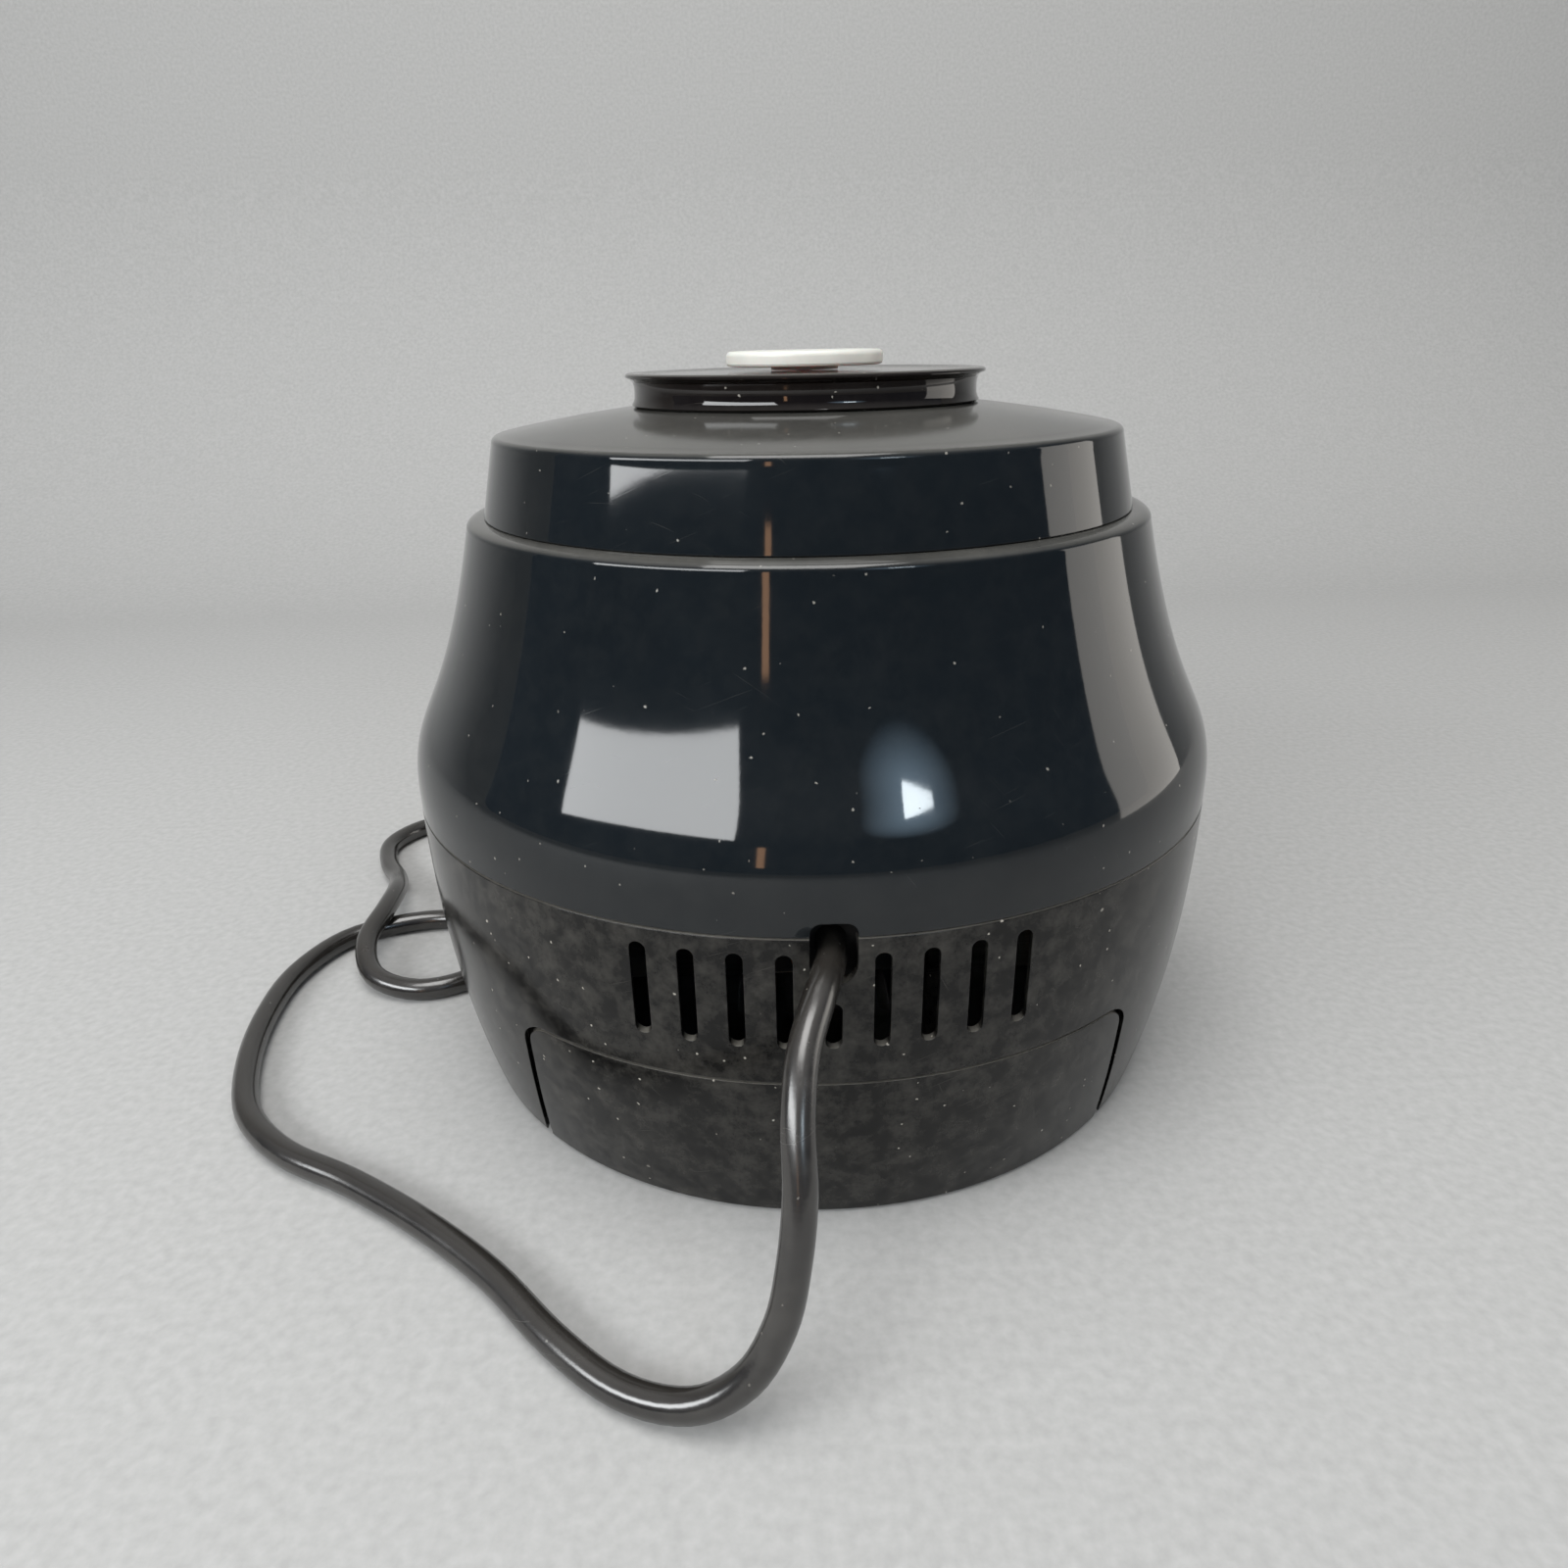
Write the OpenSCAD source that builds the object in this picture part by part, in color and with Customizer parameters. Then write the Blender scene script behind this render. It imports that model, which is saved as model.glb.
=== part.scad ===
// Round countertop rotisserie oven with a warming lid.
// Frame: origin on the floor under the middle of the body, +Z up. The door and the controls
// face -Y, the mains lead and the vents face +Y, and the spit motor is on the +X side.

/* [Body] */
// Radius at the widest line of the body
belly_r = 152; // [150:0.5:153]
// Radius of the body at its foot
foot_r = 138; // [136:0.5:140]
// Height of the widest line
belly_z = 118; // [116:1:120]
// Height of the seam between the base and the upper housing
seam_z = 112; // [110:1:114]
// Radius of the lip around the lid
lip_r = 123.6; // [123:0.2:124.4]
// Wall of the moulded housings
wall = 3; // [2.6:0.1:3.2]
// Height of the base's lower edge above the floor
base_z = 1.5; // [1:0.5:2]

/* [Rear] */
// Distance between the middles of two vent slots
slot_pitch = 14.2; // [13:0.1:15]
// Width of a vent slot
slot_w = 5; // [4:0.5:6]
// Width of the notch that the mains lead leaves through
notch_w = 13.8; // [12:0.2:15]
// Half the width of the rear cover
cover_half_w = 99; // [90:1:100]
// Height of the rear cover's upper edge
cover_top = 60; // [56:1:62]

/* [Lid] */
// Radius of the lid at its foot
lid_foot_r = 117.3; // [116.6:0.1:117.6]
// Radius of the lid's upper edge
lid_edge_r = 112; // [111:0.5:113]
// Radius of the grip disc's rim
disc_r = 64.2; // [60:0.2:66]
// Radius of the white vent cap
cap_r = 28; // [24:1:32]

/* [Chamber] */
// Height of the spit's axis
spit_z = 132; // [130:1:134]
// Radius of the spit rod
rod_r = 3.5; // [3:0.25:4]
// Half the inside width of the chamber
chamber_half_w = 103.8; // [102:0.2:104]

/* [Door] */
// Half the angle that the door covers
door_half = 60; // [58:1:61]
// Direction of the handle, counted from the middle of the front
handle_turn = 44; // [40:1:45]

/* [Mains lead] */
// Diameter of the lead
lead_d = 9.5; // [9:0.1:9.9]

/* [Hidden] */
$fn = 96;

// Outline of the body: a flared base, an S-shaped shoulder and a rounded lip.
ledge_z = 211.8;
lip_start_z = 209;
lip_depth = 6;
shoulder_steps = 18;
base_steps = 8;
function base_r(z) = belly_r - (belly_r - foot_r) * pow(1 - z / belly_z, 2.4);
function bezier(a, b, c, d, t) =
    a * pow(1 - t, 3) + 3 * b * t * pow(1 - t, 2) + 3 * c * t * t * (1 - t) + d * pow(t, 3);
function shoulder(t) =
    bezier([belly_r, belly_z], [belly_r, belly_z + 28.7], [139, 140.7], [lip_r, lip_start_z], t);
outline = concat(
    [for (i = [0:base_steps]) let (z = belly_z * i / base_steps) [base_r(z), z]],
    [for (i = [1:shoulder_steps]) shoulder(i / shoulder_steps)],
    [for (a = [15:15:90])
        [lip_r - lip_depth * (1 - cos(a)), lip_start_z + (ledge_z - lip_start_z) * sin(a)]]
);

// The body's outline moved in by an inset, between two heights.
module section(inset, z0, z1) {
    intersection() {
        polygon(concat([[0, 0]], [for (p = outline) [p[0] - inset, p[1]]], [[0, ledge_z]]));
        translate([0, z0]) square([belly_r + 20, z1 - z0]);
    }
}
module body_solid(inset, z0, z1) {
    rotate_extrude() section(inset, z0, z1);
}
module body_shell(outer, inner, z0, z1) {
    rotate_extrude() difference() {
        section(outer, z0, z1);
        section(inner, z0 - 1, z1 + 1);
    }
}
module body_sector(outer, inner, z0, z1, from, to) {
    rotate(from) rotate_extrude(angle = to - from) difference() {
        section(outer, z0, z1);
        section(inner, z0 - 1, z1 + 1);
    }
}
module box(low, high) {
    translate(low) cube(high - low);
}
// A flat shape drawn in X and Z, extruded along Y.
module through_y(y0, y1) {
    rotate([90, 0, 0]) translate([0, 0, -y1]) linear_extrude(y1 - y0) children();
}
// A flat shape drawn in Y and Z, extruded along X.
module through_x(x0, x1) {
    rotate([90, 0, 90]) translate([0, 0, x0]) linear_extrude(x1 - x0) children();
}
module rod_x(x0, x1, r, y = 0, z = 0) {
    translate([x0, y, z]) rotate([0, 90, 0]) cylinder(r = r, h = x1 - x0);
}
module rod_y(y0, y1, r, x = 0, z = 0) {
    translate([x, y1, z]) rotate([90, 0, 0]) cylinder(r = r, h = y1 - y0);
}

// A polygon with rounded corners, its points in counterclockwise order.
function unit(v) = v / norm(v);
function corner(a, b, c, r, n) =
    let (u = unit(a - b), v = unit(c - b), half = acos(u * v) / 2,
         mid = b + unit(u + v) * r / sin(half),
         first = b + u * r / tan(half) - mid,
         from = atan2(first[1], first[0]))
    [for (i = [0:n]) mid + r * [cos(from + (180 - 2 * half) * i / n),
                                sin(from + (180 - 2 * half) * i / n)]];
function rounded(p, r, n = 6) =
    [for (i = [0:len(p) - 1])
        each corner(p[(i + len(p) - 1) % len(p)], p[i], p[(i + 1) % len(p)], r, n)];
function trapezoid(low, high, z0, z1) = [[-low, z0], [low, z0], [high, z1], [-high, z1]];
function rectangle(half, z0, z1) = trapezoid(half, half, z0, z1);

// Radial stack of the front, counted in from the outer surface.
frame_out = 4;
frame_in = 7;
glass_in = 9.4;
track_lip_out = 10;
track_lip_in = 11.6;
bezel_out = 12;
liner_out = 13;
sheet = 1.2;

// Heights of the chamber, the drip drawer and the door.
chamber_floor = 60;
chamber_top = 193;
drawer_z = [62, 76];
door_z = [80, 204.8];
window_z = [88, 198];
window_w = [122, 96];
front = 270;

// Rear pillars that tie the two housings together.
pillar_angles = [70, 110];
pillar_circle = 111;
pillar_r = 5;
foot_angles = [45, 135, 225, 315];
foot_circle = 115;
boss_angles = [20, 160, 220, 320];
boss_circle = 130.5;

// Controls.
panel_y = -124;
panel_half_w = 70;
knob_x = 36;
knob_z = 32;

notch_round_z = 103.4;

module vent_slot(low, high) {
    translate([-slot_w / 2, low + slot_w / 2]) square([slot_w, high - low - slot_w]);
    translate([0, low + slot_w / 2]) circle(d = slot_w);
    translate([0, high - slot_w / 2]) circle(d = slot_w);
}

module window_cut() {
    through_y(-180, 0)
        polygon(rounded(trapezoid(window_w[0], window_w[1], window_z[0], window_z[1]), 10));
}

// Upright posts for screws, each tied to the wall by a rib.
module posts(angles, circle, r, z0, z1, rib_z0) {
    for (a = angles) rotate(a) {
        translate([circle, 0, z0]) cylinder(r = r, h = z1 - z0);
        intersection() {
            box([circle, -1.2, rib_z0], [160, 1.2, z1 - 9]);
            body_solid(wall / 2, rib_z0, z1);
        }
    }
}
module post_holes(angles, circle, r, top) {
    for (a = angles) rotate(a) translate([circle, 0, 0]) cylinder(r = r, h = top);
}

module base_housing() {
    color("#2b2d2e") difference() {
        union() {
            body_shell(0, wall, base_z, seam_z - 0.4);
            intersection() {
                body_shell(wall - 0.1, wall + 2.6, base_z + 4, cover_top + 8);
                through_y(60, 180) polygon(rounded(rectangle(cover_half_w + 7, -20, cover_top + 8), 12));
            }
            body_sector(wall - 0.1, wall + 2.2, seam_z - 7, seam_z - 1.6, -26, 112);
            body_sector(wall + 0.2, wall + 2, seam_z - 3, seam_z + 5, -26, 82);
            posts(pillar_angles, pillar_circle, pillar_r, base_z + 4, seam_z - 0.4, 63);
            posts(boss_angles, boss_circle, pillar_r, base_z + 4, 26, base_z + 4);
        }
        intersection() {
            body_shell(-2, wall, 0, cover_top + 2);
            through_y(60, 180) polygon(rounded(rectangle(cover_half_w + 2.2, -20, cover_top + 1), 9.5));
        }
        intersection() {
            body_shell(-2, wall + 4, 0, cover_top);
            through_y(60, 180) polygon(rounded(rectangle(82, 12, 50), 6));
        }
        for (k = [-4:4]) translate([k * slot_pitch, 0, 0]) through_y(125, 180)
            vent_slot(74, k == 0 ? 90 : 106.5);
        rod_y(125, 180, notch_w / 2, 0, notch_round_z);
        box([-notch_w / 2, 125, notch_round_z], [notch_w / 2, 180, seam_z + 6]);
        window_cut();
        box([-100.3, -180, drawer_z[0] - 0.5], [100.3, -60, drawer_z[1] + 0.5]);
        through_y(-180, -60) polygon(rounded(rectangle(panel_half_w, 6, 58), 6));
        post_holes(pillar_angles, pillar_circle, 1.8, 200);
        post_holes(boss_angles, boss_circle, 1.6, 20);
    }
}

module upper_housing() {
    color("#101214") difference() {
        union() {
            rotate_extrude() difference() {
                section(0, seam_z, ledge_z);
                section(wall, seam_z - 1, ledge_z - wall);
                square([109, 250]);
            }
            posts(pillar_angles, pillar_circle, pillar_r, seam_z, ledge_z - 1, seam_z + 6);
        }
        through_y(60, 180) polygon(rounded(rectangle(notch_w / 2, 90, 116.6), 3.5));
        window_cut();
        post_holes(pillar_angles, pillar_circle, 1.6, 140);
    }
}

module bottom_plate() {
    color("#8f9295") difference() {
        translate([0, 0, base_z + 2.5]) cylinder(r = foot_r - wall - 0.4, h = sheet);
        post_holes(foot_angles, foot_circle, 3, 10);
        post_holes(boss_angles, boss_circle, 2, 10);
        post_holes(pillar_angles, pillar_circle, 2, 10);
        for (x = [-40:10:40]) translate([x, 0, 0]) linear_extrude(10) vent_slot(-30, 30);
    }
}

module rubber_feet() {
    color("#1b1b1b") for (a = foot_angles) rotate(a) translate([foot_circle, 0, 0]) {
        cylinder(r1 = 8.4, r2 = 9, h = 1.2);
        translate([0, 0, 1.2]) cylinder(r = 9, h = base_z + 1.3);
        cylinder(r = 2.9, h = base_z + 5.2);
        translate([0, 0, base_z + 3.8]) cylinder(r1 = 4, r2 = 2.9, h = 2);
    }
}

module rear_cover() {
    color("#2b2d2e") {
        intersection() {
            body_shell(0, wall - 0.2, base_z, cover_top);
            through_y(60, 180) polygon(rounded(rectangle(cover_half_w, -20, cover_top), 8));
        }
        for (x = [-60, 60]) intersection() {
            union() {
                box([x - 6, 100, 45.6], [x + 6, 160, 48]);
                box([x - 6, 100, 45.6], [x + 6, base_y(66) - wall - 3.5, 51.6]);
            }
            difference() {
                body_solid(0.5, 20, 60);
                body_solid(wall + 8, 0, 61);
            }
        }
    }
}
function base_y(x) = sqrt(pow(base_r(48), 2) - x * x);

module control_panel() {
    color("#1a1c1e") difference() {
        intersection() {
            body_solid(0.4, 0, 70);
            through_y(-180, panel_y + 3) polygon(rounded(rectangle(panel_half_w - 0.4, 6.4, 57.6), 5.6));
        }
        through_y(-180, panel_y) polygon(rounded(rectangle(panel_half_w - 3, 9, 55), 3));
        for (x = [-knob_x, knob_x]) rod_y(-130, -110, 4, x, knob_z);
        rod_y(-130, -110, 4.1, 0, 46);
    }
}

module housing_screws() {
    color("silver") {
        for (a = boss_angles) rotate(a) translate([boss_circle, 0, base_z + 0.3]) screw(14);
        for (a = pillar_angles) rotate(a) translate([pillar_circle, 0, base_z + 0.3]) screw(125);
    }
}
module screw(h) {
    difference() {
        cylinder(r1 = 2.6, r2 = 3.4, h = 2.2);
        box([-2.2, -0.4, -0.1], [2.2, 0.4, 0.9]);
        box([-0.4, -2.2, -0.1], [0.4, 2.2, 0.9]);
    }
    translate([0, 0, 2.1]) cylinder(r = 1.5, h = h);
}

module chamber_liner() {
    color("#b9bcbe") difference() {
        intersection() {
            box([-chamber_half_w - sheet, -150, chamber_floor], [chamber_half_w + sheet, 86, chamber_top]);
            body_solid(liner_out, chamber_floor, chamber_top);
        }
        intersection() {
            box([-chamber_half_w, -150, chamber_floor + sheet],
                [chamber_half_w, 86 - sheet, chamber_top - sheet]);
            union() {
                body_solid(liner_out + sheet, 0, chamber_top);
                box([-150, -150, 0], [150, -75, 200]);
            }
        }
        rod_x(100, 110, 9, 0, spit_z);
        rod_x(-110, -100, 7.05, 0, spit_z);
        for (z = element_ends) rod_x(88, 115, 6.05, element_y, z);
    }
}

module chamber_bezel() {
    color("#4a4c4e") difference() {
        body_sector(bezel_out, liner_out, 77.5, 203, front - 62, front + 62);
        through_y(-180, 0) polygon(rounded(trapezoid(102, 84, 80, 190), 8));
    }
}

// Heating element: one bent rod with four runs across the back of the chamber.
element_y = 73;
element_r = 3.25;
run_z = [92, 117, 142, 167];
run_half = 76;
bend_r = (run_z[1] - run_z[0]) / 2;
element_ends = [run_z[0], run_z[3]];
module heating_element() {
    color("#5b5450") translate([0, element_y, 0]) {
        for (z = run_z) rod_x(-run_half, run_half, element_r, 0, z);
        for (z = element_ends) rod_x(run_half, 107, element_r, 0, z);
        for (i = [0:2]) translate([i == 1 ? run_half : -run_half, 0, run_z[i] + bend_r])
            rotate([90, 0, 0]) rotate(i == 1 ? -90 : 90) rotate_extrude(angle = 180)
                translate([bend_r, 0]) circle(r = element_r);
    }
}

module element_holders() {
    color("#e4dfd2") for (x = [-44, 44]) difference() {
        box([x - 4, element_y - 5, run_z[0] - 8], [x + 4, 79, run_z[3] + 8]);
        for (z = run_z) rod_x(x - 10, x + 10, element_r + 0.1, element_y, z);
    }
}

module element_bushes() {
    color("#ece7da") for (z = element_ends) difference() {
        rod_x(z == run_z[0] ? 98 : 90, z == run_z[0] ? 110 : 106, 6, element_y, z);
        rod_x(80, 120, element_r + 0.1, element_y, z);
    }
}

module rear_reflector() {
    color("#d5d7d9") difference() {
        box([-84, 79, 72], [84, 80, 174]);
        for (x = [-70, 70], z = [80, 166]) rod_y(70, 90, 2, x, z);
    }
}

module door_track_lower() {
    color("#3a3c3e") {
        body_sector(wall + 0.3, track_lip_in, 77, 79.7, 120, 332);
        body_sector(track_lip_out, track_lip_in, 77, 83, 120, 332);
    }
}

module door_track_upper() {
    color("#3a3c3e") {
        body_sector(wall + 0.3, track_lip_in, 205.3, ledge_z - wall, 120, 332);
        body_sector(track_lip_out, track_lip_in, 201.5, ledge_z - wall, 120, 332);
    }
}

module tray_rails() {
    color("#9a9d9f") for (s = [-1, 1]) difference() {
        box([s > 0 ? 94 : -103.7, -84, chamber_floor + sheet],
            [s > 0 ? 103.7 : -94, 74, chamber_floor + sheet + 1]);
        translate([s * 98, 0, 0]) linear_extrude(100) vent_slot(-30, 30);
    }
}

module spit_bearing() {
    color("#d8d3c6") difference() {
        union() {
            rod_x(-112, -102, 7, 0, spit_z);
            rod_x(-103.7, -102, 10, 0, spit_z);
        }
        rod_x(-120, -90, rod_r + 0.06, 0, spit_z);
    }
}

module gear_motor() {
    color("#b4b6b3") difference() {
        union() {
            rod_x(106.5, 120, 25, 0, spit_z);
            rod_x(120, 125, 20, 0, spit_z);
            through_x(106.5, 107.7) translate([0, spit_z]) {
                square([66, 12], center = true);
                for (y = [-33, 33]) translate([y, 0]) circle(r = 6);
            }
            box([110, -9, spit_z + 20], [121, 9, spit_z + 28]);
        }
        rod_x(100, 119, rod_r + 0.06, 0, spit_z);
        for (y = [-33, 33]) rod_x(100, 110, 1.9, y, spit_z);
    }
}

module motor_bracket() {
    color("#a7aaad") difference() {
        through_x(105, 106.5) polygon(rounded([[-42, 100], [42, 100], [42, 164], [-42, 164]], 6));
        rod_x(100, 110, 12, 0, spit_z);
        for (y = [-33, 33]) rod_x(100, 110, 1.6, y, spit_z);
    }
}

module motor_screws() {
    color("silver") for (y = [-33, 33]) {
        rod_x(105.2, 107.7, 1.5, y, spit_z);
        rod_x(107.7, 110, 3, y, spit_z);
    }
}

module timer_body() {
    color("#c9c4b4") difference() {
        union() {
            box([-knob_x - 22, -121, 12], [-knob_x + 22, -97, 54]);
            rod_y(-97, -88, 15, -knob_x, knob_z);
        }
        rod_y(-122, -104, 3.05, -knob_x, knob_z);
    }
}

module thermostat_body() {
    color("#cfc9ba") difference() {
        union() {
            box([knob_x - 15, -121, 17], [knob_x + 15, -106, 47]);
            rod_y(-106, -97, 11, knob_x, knob_z);
        }
        rod_y(-122, -109, 3.05, knob_x, knob_z);
    }
}

module power_lamp() {
    color("#c2481f") {
        rod_y(-125.4, -110, 4, 0, 46);
        rod_y(-125.4, -124.1, 5, 0, 46);
    }
}

// The lead's three cores end in a terminal block on the back of the chamber.
core_x = [-10, 0, 10];
core_r = 1.1;
module terminal_block() {
    color("#e9e6dc") difference() {
        box([-18, 86, 68], [18, 98, 84]);
        for (x = core_x) rod_y(90, 100, 2, x, 76);
    }
}

module thermal_cutout() {
    color("#cfd1d2") {
        rod_y(86, 88, 12, -62, 120);
        rod_y(88, 95, 8, -62, 120);
        for (x = [-67, -57]) box([x - 2, 95, 119.6], [x + 2, 103, 120.4]);
    }
}

module cord_clamp() {
    color("#1d1d1d") {
        box([-11.2, 126, 90], [11.2, 136, 111]);
        for (s = [-1, 1]) intersection() {
            box([s * 9.3 - 1.9, 135, 90], [s * 9.3 + 1.9, 160, 104.5]);
            body_solid(wall + 0.02, 80, 120);
        }
    }
}

module strut(p, q, r) {
    d = q - p;
    translate(p) rotate([0, acos(d[2] / norm(d)), atan2(d[1], d[0])]) cylinder(r = r, h = norm(d));
}
module mains_wires() {
    color("#7a4a2a") for (i = [0:2]) {
        low = [core_x[i], 104, 76];
        high = [core_x[i] / 2.5, 120, 100];
        rod_y(96, low[1], core_r, low[0], low[2]);
        strut(low, high, core_r);
        rod_y(high[1], 126, core_r, high[0], high[2]);
        for (p = [low, high]) translate(p) sphere(r = core_r * 1.2);
    }
}

module door_frame() {
    color("#17191b") difference() {
        body_sector(frame_out, frame_in, door_z[0], door_z[1], front - door_half, front + door_half);
        through_y(-180, 0) polygon(rounded(trapezoid(90, 68, 98, 188), 8));
        handle_screw_holes(1.7);
    }
}

module door_glass() {
    color("#3c3a36", 0.5) body_sector(frame_in, glass_in, 90, 196, front - 46, front + 41);
}

// The door's handle: an upright grip on two stems, standing clear of the shoulder.
stem_z = [156, 182];
grip_circle = 146.3;
grip_r = 5.2;
module door_handle() {
    color("#202224") rotate(front + handle_turn) difference() {
        union() {
            translate([grip_circle, 0, 150]) cylinder(r = grip_r, h = 38);
            translate([grip_circle, 0, 188]) sphere(r = grip_r);
            translate([grip_circle, 0, 150]) sphere(r = grip_r);
            for (z = stem_z) rod_x(110, grip_circle, 4.4, 0, z);
        }
        body_solid(frame_out, 0, ledge_z);
        for (z = stem_z) rod_x(100, 139 + (z == stem_z[0] ? 4 : 0), 1.55, 0, z);
    }
}
module handle_screw_holes(r) {
    rotate(front + handle_turn) for (z = stem_z) rod_x(100, 160, r, 0, z);
}

module handle_screws() {
    color("silver") rotate(front + handle_turn) for (z = stem_z) {
        rod_x(z == stem_z[0] ? 131.3 : 121.8, z == stem_z[0] ? 142 : 136, 1.45, 0, z);
        rod_x(z == stem_z[0] ? 129.9 : 120.4, z == stem_z[0] ? 131.4 : 121.9, 2.6, 0, z);
    }
}

module drip_pan() {
    color("#8d8f91") difference() {
        intersection() {
            box([-99.6, -150, 62.5], [99.6, 76, 75]);
            body_solid(liner_out + 2, 60, 80);
        }
        intersection() {
            box([-98.2, -150, 63.9], [98.2, 74.6, 80]);
            body_solid(liner_out + 3.5, 60, 80);
        }
    }
}

module drawer_front() {
    color("#1a1c1e") difference() {
        union() {
            intersection() {
                body_shell(0.3, 3.2, drawer_z[0], drawer_z[1]);
                box([-99.7, -180, 60], [99.7, -60, 80]);
            }
            intersection() {
                body_shell(0.3, liner_out + 1.8, 62.5, 65.5);
                box([-96, -180, 60], [96, -60, 80]);
            }
            intersection() {
                difference() {
                    translate([0, 0, 70.5]) cylinder(r = belly_r, h = 3.5);
                    cylinder(r = 146.5, h = 90);
                }
                box([-32, -180, 60], [32, -60, 80]);
            }
        }
        intersection() {
            body_shell(-5, 2.2, 66, 70.5);
            box([-32, -180, 60], [32, -60, 80]);
        }
    }
}

module spit_rod() {
    color("#c8cacc") {
        rod_x(-110, 99, rod_r, 0, spit_z);
        translate([-110, 0, spit_z]) rotate([0, -90, 0]) cylinder(r1 = rod_r, r2 = 1.2, h = 4);
    }
}

// A meat fork: a hub on the rod, a cross of two bars and four pointed prongs.
prong_circle = 24;
module fork() {
    difference() {
        union() {
            rod_x(-62, -46, 8);
            for (a = [0, 90]) rotate([a, 0, 0]) box([-62, -4, -prong_circle - 4], [-59.6, 4, prong_circle + 4]);
            for (a = [0:90:270]) rotate([a, 0, 0]) translate([0, 0, prong_circle]) {
                rod_x(-60, -16, 1.9);
                translate([-16, 0, 0]) rotate([0, 90, 0]) cylinder(r1 = 1.9, r2 = 0.3, h = 9);
            }
        }
        rod_x(-70, -40, rod_r + 0.05);
        rotate([45, 0, 0]) translate([-52, 0, 0]) cylinder(r = 2.05, h = 20);
    }
}
module fork_left() {
    color("#c4c6c8") translate([0, 0, spit_z]) fork();
}
module fork_right() {
    color("#c4c6c8") translate([0, 0, spit_z]) mirror([1, 0, 0]) fork();
}
module thumb_screws() {
    color("#b9bbbd") for (m = [0, 1]) translate([0, 0, spit_z]) mirror([m, 0, 0])
        rotate([45, 0, 0]) translate([-52, 0, 0]) {
            translate([0, 0, rod_r + 0.06]) cylinder(r = 2, h = 8);
            difference() {
                translate([0, 0, 10]) cylinder(r = 6.5, h = 4);
                for (a = [0:30:330]) rotate(a) translate([6.9, 0, 9]) cylinder(r = 0.9, h = 6);
            }
        }
}

module drive_socket() {
    color("#8e9092") difference() {
        union() {
            rod_x(88, 103, 8, 0, spit_z);
            rod_x(103, 117, rod_r, 0, spit_z);
        }
        rod_x(80, 99.2, rod_r + 0.05, 0, spit_z);
    }
}

module knob(x) {
    difference() {
        union() {
            rod_y(-129, -124.8, 16, x, knob_z);
            rod_y(-131, -129, 14.5, x, knob_z);
            box([x - 4, -137, knob_z - 14], [x + 4, -130.5, knob_z + 14]);
        }
        rod_y(-132, -120, 3.02, x, knob_z);
    }
}
module timer_knob() {
    color("#202224") knob(-knob_x);
}
module heat_knob() {
    color("#202224") knob(knob_x);
}
module timer_shaft() {
    color("#c9cbcc") rod_y(-132, -105, 3, -knob_x, knob_z);
}
module heat_shaft() {
    color("#c9cbcc") rod_y(-132, -110, 3, knob_x, knob_z);
}

module warming_tray() {
    color("#a9acae") difference() {
        rotate_extrude() polygon([
            [0, 199], [101, 199], [103.6, 201.5], [105, ledge_z], [113.8, ledge_z],
            [113.8, ledge_z + 1.2], [104, ledge_z + 1.2], [102.4, 202.2], [100.4, 200.2], [0, 200.2]
        ]);
        for (ring = [1:4], i = [0:6 * ring - 1]) rotate(i * 60 / ring)
            translate([20 * ring, 0, 190]) cylinder(r = 2.5, h = 20);
    }
}

// Lid: a drum with a rounded upper edge and a shallow crown, dished under the grip disc.
lid_wall = 2.5;
crown_rise = 0.0009;
crown_mid = 249.7;
lid_z = ledge_z + 0.2;
edge_z = 236.6;
function crown(r) = crown_mid - crown_rise * r * r;
function lid_outline(t) = concat(
    [[lid_foot_r - t, lid_z], [lid_edge_r - t, edge_z]],
    [for (a = [30:30:90]) [lid_edge_r - t - 2.6 * (1 - cos(a)), edge_z + (2.2 - t * 0.6) * sin(a)]],
    [for (r = [102, 90, 78, 66, 60]) [r, crown(r) - t]],
    [[57, 244.6 - t], [0, 244.6 - t]]
);
module lid_shell() {
    color("#0d0e10") difference() {
        rotate_extrude() difference() {
            polygon(concat([[0, lid_z]], lid_outline(0)));
            polygon(concat([[0, lid_z - 1]], [[lid_foot_r - lid_wall, lid_z - 1]], lid_outline(lid_wall)));
        }
        cylinder(r = 3.06, h = 300);
        for (a = [0:90:270]) rotate(a) translate([20, 0, 230]) cylinder(r = 2, h = 30);
        for (a = [45:90:315]) rotate(a) translate([44, 0, 230]) cylinder(r = 1.7, h = 30);
    }
}

module lid_liner() {
    color("#b6b9bb") difference() {
        rotate_extrude() polygon([
            [12, 237], [104, 234.4], [107.5, 232], [108.4, 232.4], [104.6, 235.2], [12, 238]
        ]);
        for (a = [0:90:270]) rotate(a) translate([20, 0, 230]) cylinder(r = 3, h = 30);
        for (a = [45:90:315]) rotate(a) translate([44, 0, 230]) cylinder(r = 3.2, h = 30);
    }
}

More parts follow.
